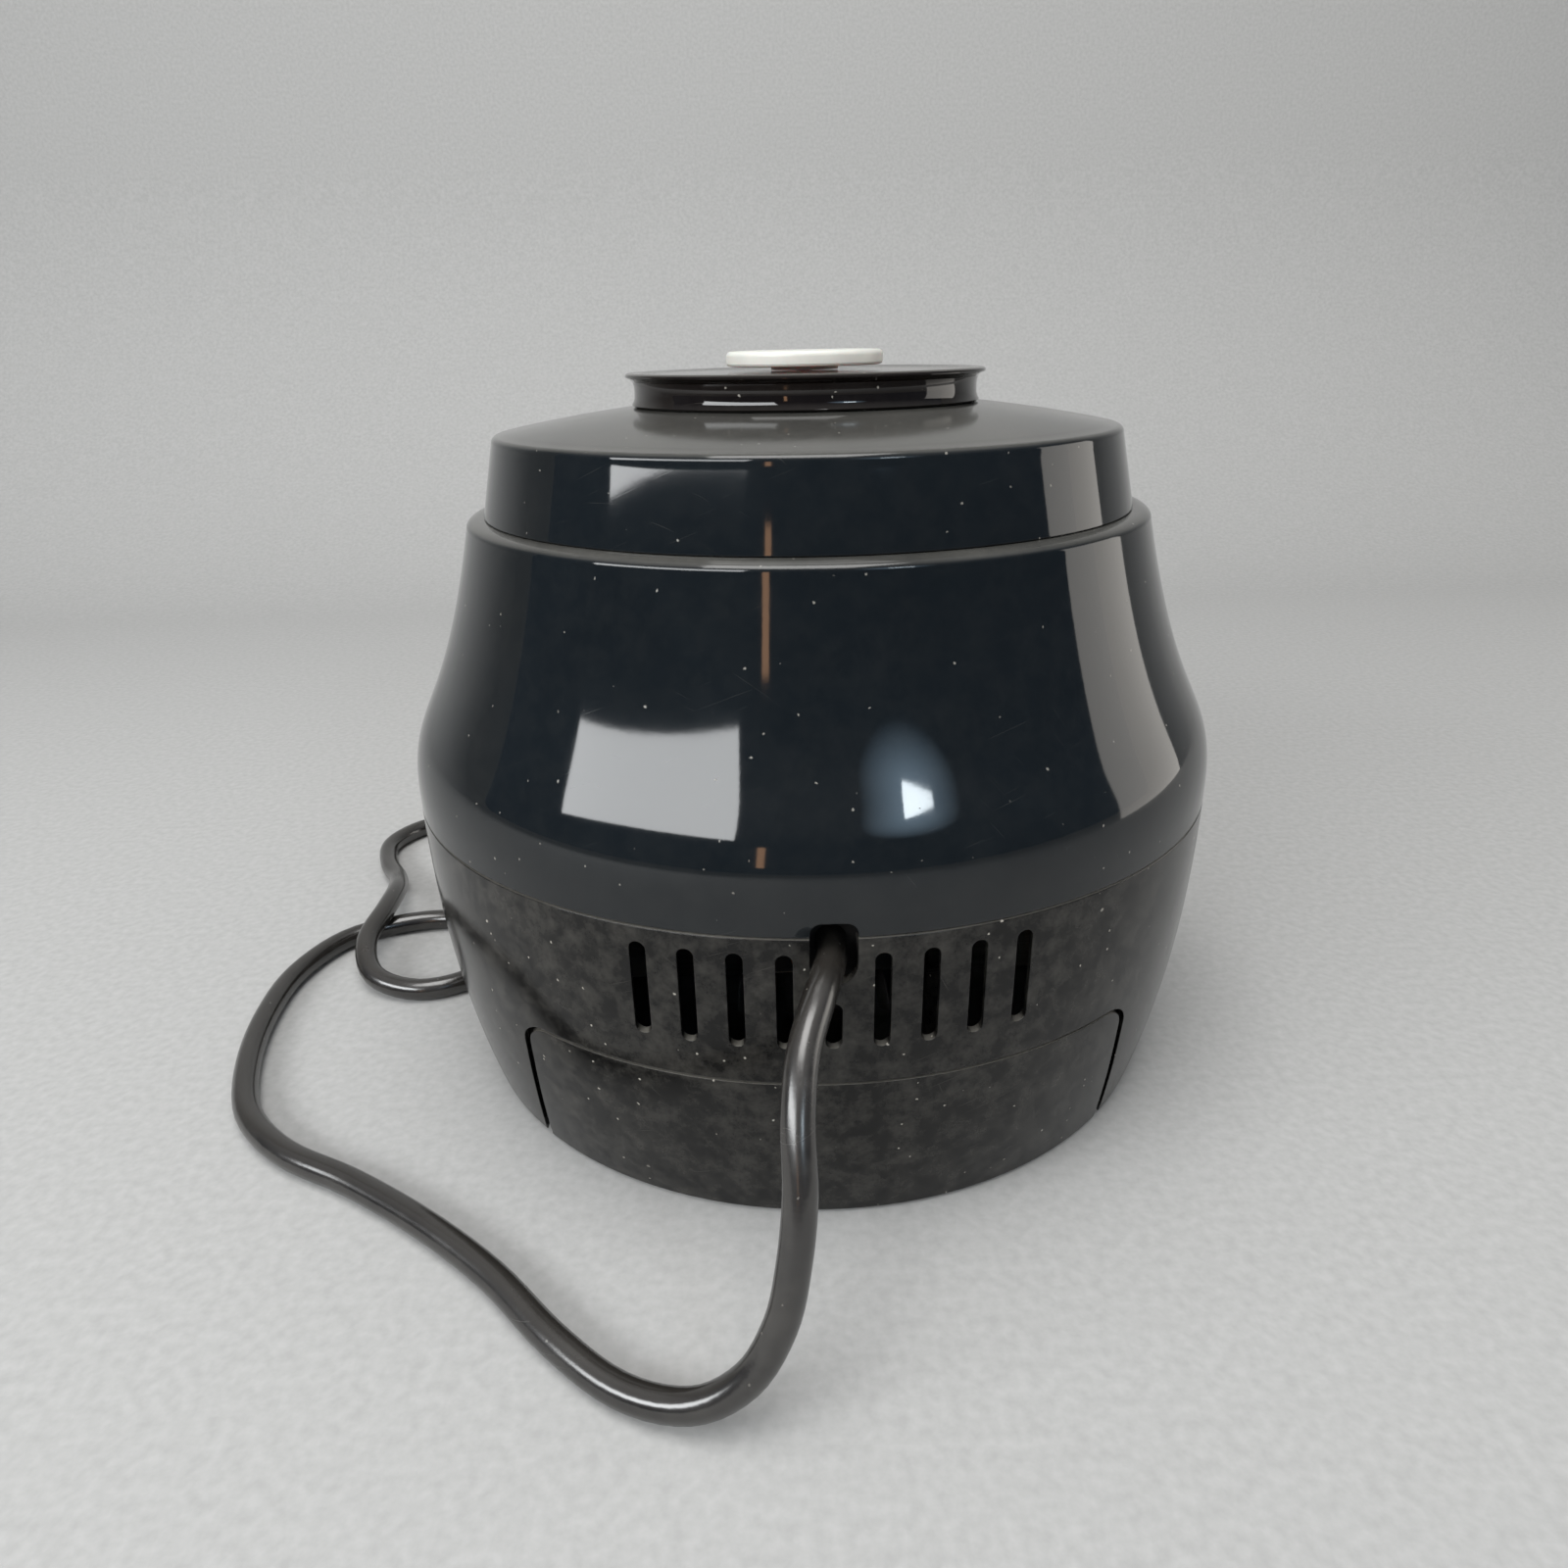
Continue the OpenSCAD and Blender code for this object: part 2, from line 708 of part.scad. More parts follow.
// Grip disc: a shallow inverted dish with a flared rim and a foot ring.
module grip_disc() {
    color("#191412") difference() {
        union() {
            rotate_extrude() polygon([
                [59, crown(61.5) + 0.25], [61.8, crown(61.5) + 0.25], [62.4, 247.4], [61.6, 248.4],
                [61.2, 251.5], [61.8, 255], [disc_r, 256.1], [disc_r, 257.1], [disc_r - 0.9, 257.7],
                [60, 257.7], [57, 257.2], [30, 257.4], [0, 257.4], [0, 254.8], [57, 254.8], [59, 252]
            ]);
            translate([0, 0, 244.65]) cylinder(r = 8, h = 12);
            for (a = [45:90:315]) rotate(a) translate([44, 0, 244.65]) cylinder(r = 4, h = 12);
        }
        cylinder(r = 3.06, h = 300);
        for (a = [45:90:315]) rotate(a) translate([44, 0, 240]) cylinder(r = 1.5, h = 12);
        for (a = [0:90:270]) rotate(a) translate([20, 0, 250]) cylinder(r = 2, h = 20);
    }
}

module disc_screws() {
    color("silver") for (a = [45:90:315]) rotate(a) translate([44, 0, 0]) {
        translate([0, 0, 240.2]) cylinder(r = 2.9, h = 1.8);
        translate([0, 0, 241.9]) cylinder(r = 1.45, h = 9);
    }
}

module vent_cap() {
    color("#efeee8") difference() {
        rotate_extrude() polygon(concat(
            [[0, 257.7], [12, 257.7], [12, 259], [cap_r - 0.8, 259]],
            [for (a = [0:22.5:90]) [cap_r - 1.6 * (1 - cos(a)), 262.2 + 1.8 * sin(a)]],
            [[cap_r - 6, 264.2], [0, 264.2]]
        ));
        cylinder(r = 3.02, h = 262);
    }
}

module vent_spindle() {
    color("#c4c6c8") {
        translate([0, 0, 241]) cylinder(r = 3, h = 20.5);
        translate([0, 0, 239.6]) cylinder(r = 5, h = 1.5);
    }
}

// Route of the mains lead: out of the notch, down to the floor, round the side of the body
// in two bights, over itself once, and behind the body to its plug.
lead_z = lead_d / 2;
route = [
    [0, 136, 103], [1, 150, 103], [5, 165, 101], [10, 180, 94], [12, 192, 82], [12, 201, 67],
    [14, 207, 50], [18, 211, 33], [27, 214, 18], [42, 213, 8], [62, 205, lead_z],
    [83, 188, lead_z], [106, 164, lead_z], [133, 142, lead_z], [163, 122, lead_z],
    [192, 106, lead_z], [214, 84, lead_z], [227, 54, lead_z], [234, 20, lead_z],
    [234, -14, lead_z], [222, -43, lead_z], [199, -57, lead_z], [174, -60, lead_z],
    [152, -50, lead_z], [144, -28, lead_z], [152, -6, lead_z], [174, 3, lead_z],
    [196, -6, 7], [206, -28, 12], [205, -54, 14.6], [207, -78, 13],
    [215, -103, 7], [227, -126, lead_z], [233, -150, lead_z], [222, -172, lead_z],
    [199, -183, lead_z], [174, -187, 6], [149, -189, 12.5], [124, -190, 17.6], [100, -190, 18]
];
cord_sides = 10;
function spline(a, b, c, d, t) = 0.5 * (2 * b + (c - a) * t + (2 * a - 5 * b + 4 * c - d) * t * t
    + (3 * b - a - 3 * c + d) * t * t * t);
function route_at(i) = i < 0 ? 2 * route[0] - route[1]
    : i >= len(route) ? 2 * route[len(route) - 1] - route[len(route) - 2] : route[i];
path = concat(
    [for (i = [0:len(route) - 2], t = [0, 0.5])
        spline(route_at(i - 1), route_at(i), route_at(i + 1), route_at(i + 2), t)],
    [route[len(route) - 1]]
);
function along(i) = i == 0 ? [0, 1, 0]
    : unit(path[min(i + 1, len(path) - 1)] - path[i - 1]);
function square_to(n, t) = unit(n - (n * t) * t);
sides = [for (i = 0, n = [1, 0, 0]; i < len(path);
    i = i + 1, n = i < len(path) ? square_to(n, along(i)) : n) n];

module power_cord() {
    points = [for (i = [0:len(path) - 1], k = [0:cord_sides - 1])
        let (u = sides[i], v = cross(along(i), u), a = 360 * k / cord_sides)
        path[i] + lead_z * (u * cos(a) + v * sin(a))];
    last = len(path) - 1;
    faces = concat(
        [for (i = [0:last - 1], k = [0:cord_sides - 1])
            let (a = i * cord_sides + k, b = i * cord_sides + (k + 1) % cord_sides)
            each [[a, a + cord_sides, b], [b, a + cord_sides, b + cord_sides]]],
        [[for (k = [0:cord_sides - 1]) k]],
        [[for (k = [cord_sides - 1:-1:0]) last * cord_sides + k]]
    );
    color("#1e1f20") polyhedron(points, faces);
}

// The plug lies on its side behind the body, its pins towards -X.
plug_end = route[len(route) - 1] - [0.1, 0, 0];
module plug_body() {
    color("#1c1d1e") translate(plug_end) rotate([0, -90, 0]) difference() {
        rotate_extrude() polygon([
            [0, 0], [6.5, 0], [8.5, 26], [12, 30], [15.5, 38], [16, 46], [18, 50], [18, 64],
            [16.5, 66], [0, 66]
        ]);
        for (s = [-1, 1]) translate([0, 9.5 * s, 58]) cylinder(r = 2.45, h = 20);
    }
}

module plug_pins() {
    color("#d8d2bf") translate(plug_end) rotate([0, -90, 0]) for (s = [-1, 1])
        translate([0, 9.5 * s, 58.1]) {
            cylinder(r = 2.4, h = 24.9);
            translate([0, 0, 24.9]) cylinder(r1 = 2.4, r2 = 1.2, h = 2);
        }
}

base_housing();
upper_housing();
bottom_plate();
rubber_feet();
rear_cover();
control_panel();
housing_screws();
chamber_liner();
chamber_bezel();
rear_reflector();
heating_element();
element_holders();
element_bushes();
door_track_lower();
door_track_upper();
tray_rails();
spit_bearing();
gear_motor();
motor_bracket();
motor_screws();
timer_body();
thermostat_body();
power_lamp();
terminal_block();
thermal_cutout();
cord_clamp();
mains_wires();
door_frame();
door_glass();
door_handle();
handle_screws();
drip_pan();
drawer_front();
spit_rod();
fork_left();
fork_right();
thumb_screws();
drive_socket();
timer_knob();
timer_shaft();
heat_knob();
heat_shaft();
warming_tray();
lid_shell();
lid_liner();
grip_disc();
disc_screws();
vent_cap();
vent_spindle();
power_cord();
plug_body();
plug_pins();
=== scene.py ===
import math

import bmesh
import bpy
from mathutils import Matrix, Vector
from mathutils.kdtree import KDTree


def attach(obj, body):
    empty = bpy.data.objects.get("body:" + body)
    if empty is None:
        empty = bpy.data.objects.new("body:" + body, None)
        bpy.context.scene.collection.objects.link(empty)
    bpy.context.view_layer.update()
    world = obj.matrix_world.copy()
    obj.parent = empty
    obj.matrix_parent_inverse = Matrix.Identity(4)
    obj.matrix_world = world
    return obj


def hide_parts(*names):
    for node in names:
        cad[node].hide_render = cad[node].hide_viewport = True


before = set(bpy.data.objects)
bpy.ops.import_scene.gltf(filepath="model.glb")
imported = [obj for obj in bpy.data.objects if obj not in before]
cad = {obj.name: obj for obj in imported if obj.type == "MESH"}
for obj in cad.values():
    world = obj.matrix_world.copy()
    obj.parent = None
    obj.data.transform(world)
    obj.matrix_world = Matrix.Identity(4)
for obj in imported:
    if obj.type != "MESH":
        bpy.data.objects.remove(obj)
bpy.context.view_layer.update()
mm = 0.001


# ---------------------------------------------------------------- camera
# It stands behind the oven, a little higher than the lid and slightly off
# the middle line, and looks down at the vents.
camera = bpy.data.objects.new("camera", bpy.data.cameras.new("camera"))
bpy.context.scene.collection.objects.link(camera)
camera.data.sensor_width = 36
camera.data.lens = 24.75
camera.data.clip_start = 0.01
camera.matrix_world = (
    Matrix.Translation((0.0177, 0.4144, 0.2664))
    @ Matrix.Rotation(math.radians(179.0), 4, "Z")
    @ Matrix.Rotation(math.radians(67.77), 4, "X")
    @ Matrix.Rotation(math.radians(-1.19), 4, "Z")
)
bpy.context.scene.camera = camera


# ---------------------------------------------------------------- mains lead
# A round three-core lead in black PVC, 9.5 mm thick. It leaves the notch in the
# rear, drops to the floor and runs round the side in two bights to its plug.
def add(material, kind, values=None, **settings):
    """Adds a shader node. Each value is a number, a colour or another node's output."""
    made = material.node_tree.nodes.new("ShaderNode" + kind)
    for name, setting in settings.items():
        setattr(made, name, setting)
    for name, value in (values or {}).items():
        socket = made.inputs[name]
        if isinstance(value, bpy.types.NodeSocket):
            material.node_tree.links.new(value, socket)
        else:
            socket.default_value = value
    return made


def between(material, value, low, high, to_low=0.0, to_high=1.0):
    """The value, stretched so that low to high becomes to_low to to_high, and held there."""
    ramp = {"Value": value, "From Min": low, "From Max": high, "To Min": to_low, "To Max": to_high}
    return add(material, "MapRange", ramp).outputs["Result"]


def product(material, a, b, operation="MULTIPLY"):
    return add(material, "Math", {0: a, 1: b}, operation=operation).outputs["Value"]


def raised(material, base, value, times):
    """The base plus the value times a number."""
    return add(material, "Math", {0: value, 1: times, 2: base},
               operation="MULTIPLY_ADD").outputs["Value"]


def tint(material, amount, a, b):
    """Colour a where amount is 0, and b where it is 1."""
    made = add(material, "Mix", data_type="RGBA")
    for socket, value in ((made.inputs["Factor"], amount), (made.inputs[6], a), (made.inputs[7], b)):
        if isinstance(value, bpy.types.NodeSocket):
            material.node_tree.links.new(value, socket)
        else:
            socket.default_value = (*value, 1.0) if isinstance(value, tuple) else value
    return made.outputs[2]


def new_material(name, **shader):
    material = bpy.data.materials.new(name)
    material.use_nodes = True
    principled = material.node_tree.nodes["Principled BSDF"]
    for socket, value in shader.items():
        principled.inputs[socket.replace("_", " ")].default_value = value
    place = add(material, "TexCoord").outputs["Object"]
    return material, principled, place


def join(material, value, principled, socket):
    material.node_tree.links.new(value, principled.inputs[socket])


def dusty_plastic(name, colour, roughness, grain=500.0, grain_depth=0.02, specks=0.4, film=0.3,
                  hairlines=0.06, haze=0.0, rounding=0.0, **shader):
    """Moulded plastic that has been used: fine grain, hairline scratches, dust specks, a
    blotchy haze all over and a film of dust on whatever faces up."""
    material, principled, place = new_material(name, **shader)
    cloud = add(material, "TexNoise", {"Vector": place, "Scale": 17.0, "Detail": 6.0,
                                       "Roughness": 0.62}).outputs["Fac"]
    fine = add(material, "TexNoise", {"Vector": place, "Scale": grain, "Detail": 3.0}).outputs["Fac"]
    # hairline scratches in two directions, broken up by the cloud
    scratch = None
    for turn in ((0.35, 0.2, 0.5), (1.1, 0.7, -0.9)):
        lines = add(material, "Mapping", {"Vector": place, "Rotation": turn,
                                          "Scale": (1 / 35, 1 / 35, 1 / 2600)}, vector_type="TEXTURE")
        streak = add(material, "TexNoise", {"Vector": lines.outputs["Vector"], "Scale": 1.0,
                                            "Detail": 1.0}).outputs["Fac"]
        streak = between(material, streak, 0.73, 0.80)
        scratch = streak if scratch is None else product(material, scratch, streak, "MAXIMUM")
    scratch = product(material, scratch, between(material, cloud, 0.45, 0.62))
    # specks of two sizes, in uneven shapes
    warp = add(material, "TexNoise", {"Vector": place, "Scale": 900.0}).outputs["Color"]
    shaken = add(material, "VectorMath", {0: warp, "Scale": 0.0011}, operation="SCALE")
    spot_place = add(material, "VectorMath", {0: place, 1: shaken.outputs["Vector"]}, operation="ADD")
    dots = None
    for density, size, rare in ((210.0, 0.10, 0.62), (62.0, 0.055, 0.80)):
        cells = add(material, "TexVoronoi", {"Vector": spot_place.outputs["Vector"], "Scale": density})
        dot = between(material, cells.outputs["Distance"], size, size * 0.55)
        chosen = add(material, "SeparateColor", {"Color": cells.outputs["Color"]}).outputs["Red"]
        dot = product(material, dot, between(material, chosen, rare, rare + 0.02))
        dots = dot if dots is None else product(material, dots, dot, "MAXIMUM")
    dots = product(material, dots, specks)
    up = add(material, "SeparateXYZ", {"Vector": add(material, "NewGeometry").outputs["Normal"]})
    settled = between(material, up.outputs["Z"], 0.55, 0.98)
    settled = product(material, settled, between(material, cloud, 0.30, 0.60, film * 0.55, film))
    settled = product(material, settled, between(material, fine, 0.3, 0.7, 0.85, 1.0))
    dust = product(material, product(material, dots, settled, "MAXIMUM"),
                   product(material, scratch, hairlines), "MAXIMUM")
    blotches = add(material, "TexNoise", {"Vector": place, "Scale": 110.0, "Detail": 7.0,
                                          "Roughness": 0.72}).outputs["Fac"]
    dust = product(material, dust, between(material, blotches, 0.42, 0.66, 0.0, haze), "MAXIMUM")
    darker = tuple(c * 0.75 for c in colour)
    plain = tint(material, between(material, cloud, 0.3, 0.7), darker, colour)
    join(material, tint(material, dust, plain, (0.49, 0.465, 0.41)), principled, "Base Color")
    rough = between(material, cloud, 0.35, 0.68, roughness * 0.75, roughness * 1.35)
    join(material, raised(material, rough, dust, 0.7), principled, "Roughness")
    height = raised(material, fine, dots, 1.5)
    height = product(material, height, product(material, scratch, 0.15), "SUBTRACT")
    bump = {"Height": height, "Strength": 1.0, "Distance": grain_depth * mm}
    if rounding:
        bump["Normal"] = add(material, "Bevel", {"Radius": rounding * mm}, samples=4).outputs["Normal"]
    join(material, add(material, "Bump", bump).outputs["Normal"], principled, "Normal")
    return material


lead_d = 9.5
lead_z = lead_d / 2
lead_route = [
    (0, 136, 103), (1, 150, 103), (5, 165, 101), (10, 180, 94), (12, 192, 82), (12, 201, 67),
    (14, 207, 50), (18, 211, 33), (27, 214, 18), (42, 213, 8), (62, 205, lead_z),
    (83, 188, lead_z), (106, 164, lead_z), (133, 142, lead_z), (163, 122, lead_z),
    (192, 106, lead_z), (214, 84, lead_z), (227, 54, lead_z), (234, 20, lead_z),
    (234, -14, lead_z), (222, -43, lead_z), (199, -57, lead_z), (174, -60, lead_z),
    (152, -50, lead_z), (144, -28, lead_z), (152, -6, lead_z), (174, 3, lead_z),
    (196, -6, 7), (206, -28, 12), (205, -54, 14.6), (207, -78, 13),
    (215, -103, 7), (227, -126, lead_z), (233, -150, lead_z), (222, -172, lead_z),
    (199, -183, lead_z), (174, -187, 6), (149, -189, 12.5), (124, -190, 17.6), (100, -190, 18),
]
lead_stops = [Vector(p) * mm for p in lead_route]
lead_stops = [2 * lead_stops[0] - lead_stops[1], *lead_stops, 2 * lead_stops[-1] - lead_stops[-2]]
lead_line = []
for a, b, c, d in zip(lead_stops, lead_stops[1:], lead_stops[2:], lead_stops[3:]):
    for t in (0.0, 0.2, 0.4, 0.6, 0.8):
        lead_line.append(0.5 * (2 * b + (c - a) * t + (2 * a - 5 * b + 4 * c - d) * t * t
                                + (3 * b - a - 3 * c + d) * t ** 3))
lead_line.append(lead_stops[-2])
lead_curve = bpy.data.curves.new("mains_lead", "CURVE")
lead_curve.dimensions = "3D"
lead_curve.bevel_depth = lead_d / 2 * mm
lead_curve.bevel_resolution = 7
lead_curve.use_fill_caps = True
lead_spline = lead_curve.splines.new("POLY")
lead_spline.points.add(len(lead_line) - 1)
for point, at in zip(lead_spline.points, lead_line):
    point.co = (*at, 1.0)
lead_spline.use_smooth = True
mains_lead = bpy.data.objects.new("mains_lead", lead_curve)
bpy.context.scene.collection.objects.link(mains_lead)
lead_pvc = dusty_plastic("lead_pvc", (0.0145, 0.0125, 0.0110), 0.20, grain=900.0, grain_depth=0.02,
                         specks=0.2, film=0.03, haze=0.03, Specular_IOR_Level=1.0)
lead_curve.materials.append(lead_pvc)
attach(mains_lead, "root")
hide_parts("power_cord")


# ---------------------------------------------------------------- plug
# The plug is moulded onto the lead in black PVC: a ribbed, tapered strain relief, a waisted
# grip and a round face with two brass pins.
def make_piece(name, shape, material, body, node, sharp=32):
    """Turns the bmesh into a named piece that stands for a CAD node and rides on its body."""
    for face in shape.faces:
        face.smooth = True
    for edge in shape.edges:
        edge.smooth = edge.calc_face_angle(0.0) < math.radians(sharp)
    mesh = bpy.data.meshes.new(name)
    shape.to_mesh(mesh)
    shape.free()
    mesh.materials.append(material)
    piece = bpy.data.objects.new(name, mesh)
    bpy.context.scene.collection.objects.link(piece)
    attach(piece, body)
    if node:
        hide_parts(node)
    return piece


def turned(profile, steps=128, closed=False):
    """A profile of (radius, height) in mm, spun round the upright axis."""
    shape = bmesh.new()
    points = [shape.verts.new((r * mm, 0, z * mm)) for r, z in profile]
    pairs = list(zip(points, points[1:])) + ([(points[-1], points[0])] if closed else [])
    lines = [shape.edges.new(pair) for pair in pairs]
    bmesh.ops.spin(shape, geom=points + lines, cent=(0, 0, 0), axis=(0, 0, 1), dvec=(0, 0, 0),
                   angle=math.tau, steps=steps, use_merge=True)
    bmesh.ops.remove_doubles(shape, verts=shape.verts, dist=0.002 * mm)
    bmesh.ops.recalc_face_normals(shape, faces=shape.faces)
    return shape


plug_profile = [(0, 0), (6.3, 0)]
for rib in range(6):
    start, grow = 1.5 + rib * 4.1, rib * 0.38
    plug_profile += [(6.4 + grow, start), (6.5 + grow, start + 2.5), (5.6 + grow, start + 2.9),
                     (5.6 + grow, start + 3.8)]
plug_profile += [(8.5, 26.2), (9.4, 28), (11.6, 30), (13.6, 33), (15.0, 37), (15.5, 41), (15.6, 45),
                 (16.2, 48), (17.6, 49.6), (18, 50.6), (18, 63.4), (17.8, 64.6), (17.2, 65.5),
                 (16.4, 66), (0, 66)]
plug_start = (99.9, -190.0, 18.0)
plug_shape = turned(plug_profile, steps=72)
bmesh.ops.transform(plug_shape, verts=plug_shape.verts,
                    matrix=Matrix.Translation(Vector(plug_start) * mm)
                    @ Matrix.Rotation(math.radians(-90), 4, "Y"))
plug_rubber = dusty_plastic("plug_rubber", (0.014, 0.014, 0.015), 0.42, grain=700.0,
                            grain_depth=0.05, specks=0.2, film=0.25)
plug = make_piece("plug", plug_shape, plug_rubber, "root", "plug_body")


def sheet_metal(name, colour, roughness, along=(1, 1, 60), marks=0.3, relief=0.01, stain=None,
                **shader):
    """Metal with a drawn grain along one axis, cloudy handling marks and, if named, a stain."""
    material, principled, place = new_material(name, Metallic=1.0, **shader)
    stretch = add(material, "Mapping", {"Vector": place, "Scale": tuple(40.0 * a for a in along)})
    drawn = add(material, "TexNoise", {"Vector": stretch.outputs["Vector"], "Scale": 1.0,
                                       "Detail": 4.0}).outputs["Fac"]
    cloud = add(material, "TexNoise", {"Vector": place, "Scale": 28.0, "Detail": 5.0}).outputs["Fac"]
    handled = between(material, cloud, 0.4, 0.7, 0.0, marks)
    darker = tuple(c * 0.72 for c in colour)
    tone = tint(material, between(material, drawn, 0.3, 0.7, 0.0, 1.0), darker, colour)
    if stain:
        tone = tint(material, between(material, cloud, 0.48, 0.72, 0.0, 0.7), tone, stain)
    join(material, tone, principled, "Base Color")
    rough = between(material, drawn, 0.3, 0.7, roughness * 0.8, roughness * 1.2)
    join(material, raised(material, rough, handled, 0.5), principled, "Roughness")
    bump = add(material, "Bump", {"Height": drawn, "Distance": relief * mm, "Strength": 0.6})
    join(material, bump.outputs["Normal"], principled, "Normal")
    return material


def dress(material, *nodes):
    """Gives CAD nodes their finish."""
    for name in nodes:
        if not cad[name].material_slots:
            cad[name].data.materials.append(material)
        for place in cad[name].material_slots:
            place.material = material


pin_brass = sheet_metal("pin_brass", (0.72, 0.64, 0.46), 0.25, along=(60, 1, 1))
dress(pin_brass, "plug_pins")


# ---------------------------------------------------------------- floor and light
# A plain board painted pale and matt, swept up into a backdrop beyond the oven's front, with
# cloth-fronted studio lamps round the oven and a dim, even room.
floor_reach, sweep_start, sweep_r, backdrop_top = 9.0, -0.75, 0.5, 2.6
floor_shape = bmesh.new()
floor_profile = [(floor_reach, 0.0), (sweep_start, 0.0)]
floor_profile += [(sweep_start - sweep_r * math.sin(math.radians(a)),
                   sweep_r - sweep_r * math.cos(math.radians(a))) for a in range(6, 91, 6)]
floor_profile += [(sweep_start - sweep_r, backdrop_top)]
floor_points = [floor_shape.verts.new((-floor_reach, y, z)) for y, z in floor_profile]
floor_lines = [floor_shape.edges.new(pair) for pair in zip(floor_points, floor_points[1:])]
swept = bmesh.ops.extrude_edge_only(floor_shape, edges=floor_lines)
bmesh.ops.translate(floor_shape, vec=(2 * floor_reach, 0, 0),
                    verts=[v for v in swept["geom"] if isinstance(v, bmesh.types.BMVert)])
floor_mesh = bpy.data.meshes.new("floor")
for face in floor_shape.faces:
    face.smooth = True
floor_shape.to_mesh(floor_mesh)
floor_shape.free()
floor = bpy.data.objects.new("floor", floor_mesh)
bpy.context.scene.collection.objects.link(floor)
floor_paint, floor_shader, floor_place = new_material("floor_paint", Roughness=0.85)
floor_cloud = add(floor_paint, "TexNoise", {"Vector": floor_place, "Scale": 260.0, "Detail": 4.0})
join(floor_paint, tint(floor_paint, between(floor_paint, floor_cloud.outputs["Fac"], 0.3, 0.7),
                       (0.36, 0.36, 0.355), (0.42, 0.42, 0.415)), floor_shader, "Base Color")
floor_mesh.materials.append(floor_paint)


def soft_box(name, at, aim, width, height, brightness, colour, roll=0.0):
    """An area light; brightness is what a mirror would show of it."""
    lamp = bpy.data.lights.new(name, "AREA")
    lamp.shape = "RECTANGLE"
    lamp.size, lamp.size_y = width, height
    lamp.energy = brightness * math.pi * width * height
    lamp.color = colour
    box = bpy.data.objects.new(name, lamp)
    box.matrix_world = (Matrix.Translation(at)
                        @ (Vector(aim) - Vector(at)).to_track_quat("-Z", "Y").to_matrix().to_4x4()
                        @ Matrix.Rotation(math.radians(roll), 4, "Z"))
    bpy.context.scene.collection.objects.link(box)
    return box


def direction(turn, rise, distance):
    """A point at a distance from the shoulder: turn is counted from +Y towards +X."""
    turn, rise = math.radians(turn), math.radians(rise)
    return (distance * math.sin(turn) * math.cos(rise), distance * math.cos(turn) * math.cos(rise),
            0.15 + distance * math.sin(rise))


soft_box("overhead", (0.1, 0.35, 1.9), (0, 0, 0.1), 1.15, 1.15, 5.5, (1.0, 0.99, 0.975))
soft_box("window_left", direction(47.4, 25.9, 1.97), (0, 0.05, 0.2), 1.70, 0.57, 10.0,
         (0.97, 0.99, 1.0), roll=8.7)
soft_box("lamp_right", direction(-27, 25.5, 2.0), (0, 0.05, 0.2), 0.26, 0.10, 22.0, (0.88, 0.96, 1.0))
soft_box("panel_right", direction(-96, 2, 1.5), (0, 0, 0.15), 0.78, 0.95, 1.9, (1.0, 0.955, 0.89))
soft_box("warm_strip", direction(14.5, 10, 1.8), (0, 0, 0.2), 0.06, 0.42, 4.0, (1.0, 0.55, 0.30))
soft_box("fill_front", direction(165, 38, 2.2), (0, 0, 0.1), 1.6, 0.8, 5.0, (1.0, 0.99, 0.97))
# the glow round the small lamp fades out towards its edge
lamp_glow = soft_box("lamp_glow", direction(-25, 25.0, 2.2), (0, 0.05, 0.2), 1.0, 0.5, 4.0,
                     (0.55, 0.78, 1.0)).data
lamp_glow.use_nodes = True
glow_spot = add(lamp_glow, "NewGeometry").outputs["Parametric"]
glow_out = add(lamp_glow, "VectorMath", {0: glow_spot, 1: (0.5, 0.5, 0.0)}, operation="DISTANCE")
lamp_glow.node_tree.links.new(between(lamp_glow, glow_out.outputs["Value"], 0.5, 0.05),
                              lamp_glow.node_tree.nodes["Emission"].inputs["Strength"])
# the room is pale overhead and darker lower down; it fills the shadows evenly, and what is
# seen past the floor's end has the floor's own tone
world = bpy.data.worlds.new("room")
bpy.context.scene.world = world
world.use_nodes = True
room_up = add(world, "SeparateXYZ", {"Vector": add(world, "TexCoord").outputs["Generated"]})
room_up = between(world, room_up.outputs["Z"], 0.35, 0.85)
room_tone = tint(world, room_up, (0.075, 0.095, 0.125), (0.50, 0.50, 0.50))
ray = add(world, "LightPath")
room_tone = tint(world, ray.outputs["Is Diffuse Ray"], room_tone, (0.60, 0.60, 0.60))
room_tone = tint(world, ray.outputs["Is Camera Ray"], room_tone, (0.255, 0.257, 0.262))
world.node_tree.links.new(room_tone, world.node_tree.nodes["Background"].inputs["Color"])
bpy.context.scene.view_settings.view_transform = "Standard"


# ---------------------------------------------------------------- base housing
# The lower half of the body, injection moulded in black plastic: a flared wall with nine
# vent slots, the lead's notch, the front openings, and screw posts inside.
belly_r, foot_r, belly_z, seam_z = 152.0, 138.0, 118.0, 112.0
lip_r, ledge_z, lip_start_z, lip_depth = 123.6, 211.8, 209.0, 6.0
wall, base_z = 3.0, 1.5
slot_pitch, slot_w, notch_w, notch_round_z = 14.2, 5.0, 13.8, 103.4
cover_half_w, cover_top = 99.0, 60.0
pillar_angles, pillar_circle, boss_angles, boss_circle = (70, 110), 111, (20, 160, 220, 320), 130.5
door_opening = (-122, 122, -180, -20, 88, 198, 10)
door_opening_top = 96


def bezier(a, b, c, d, t):
    return a * (1 - t) ** 3 + 3 * b * t * (1 - t) ** 2 + 3 * c * t * t * (1 - t) + d * t ** 3


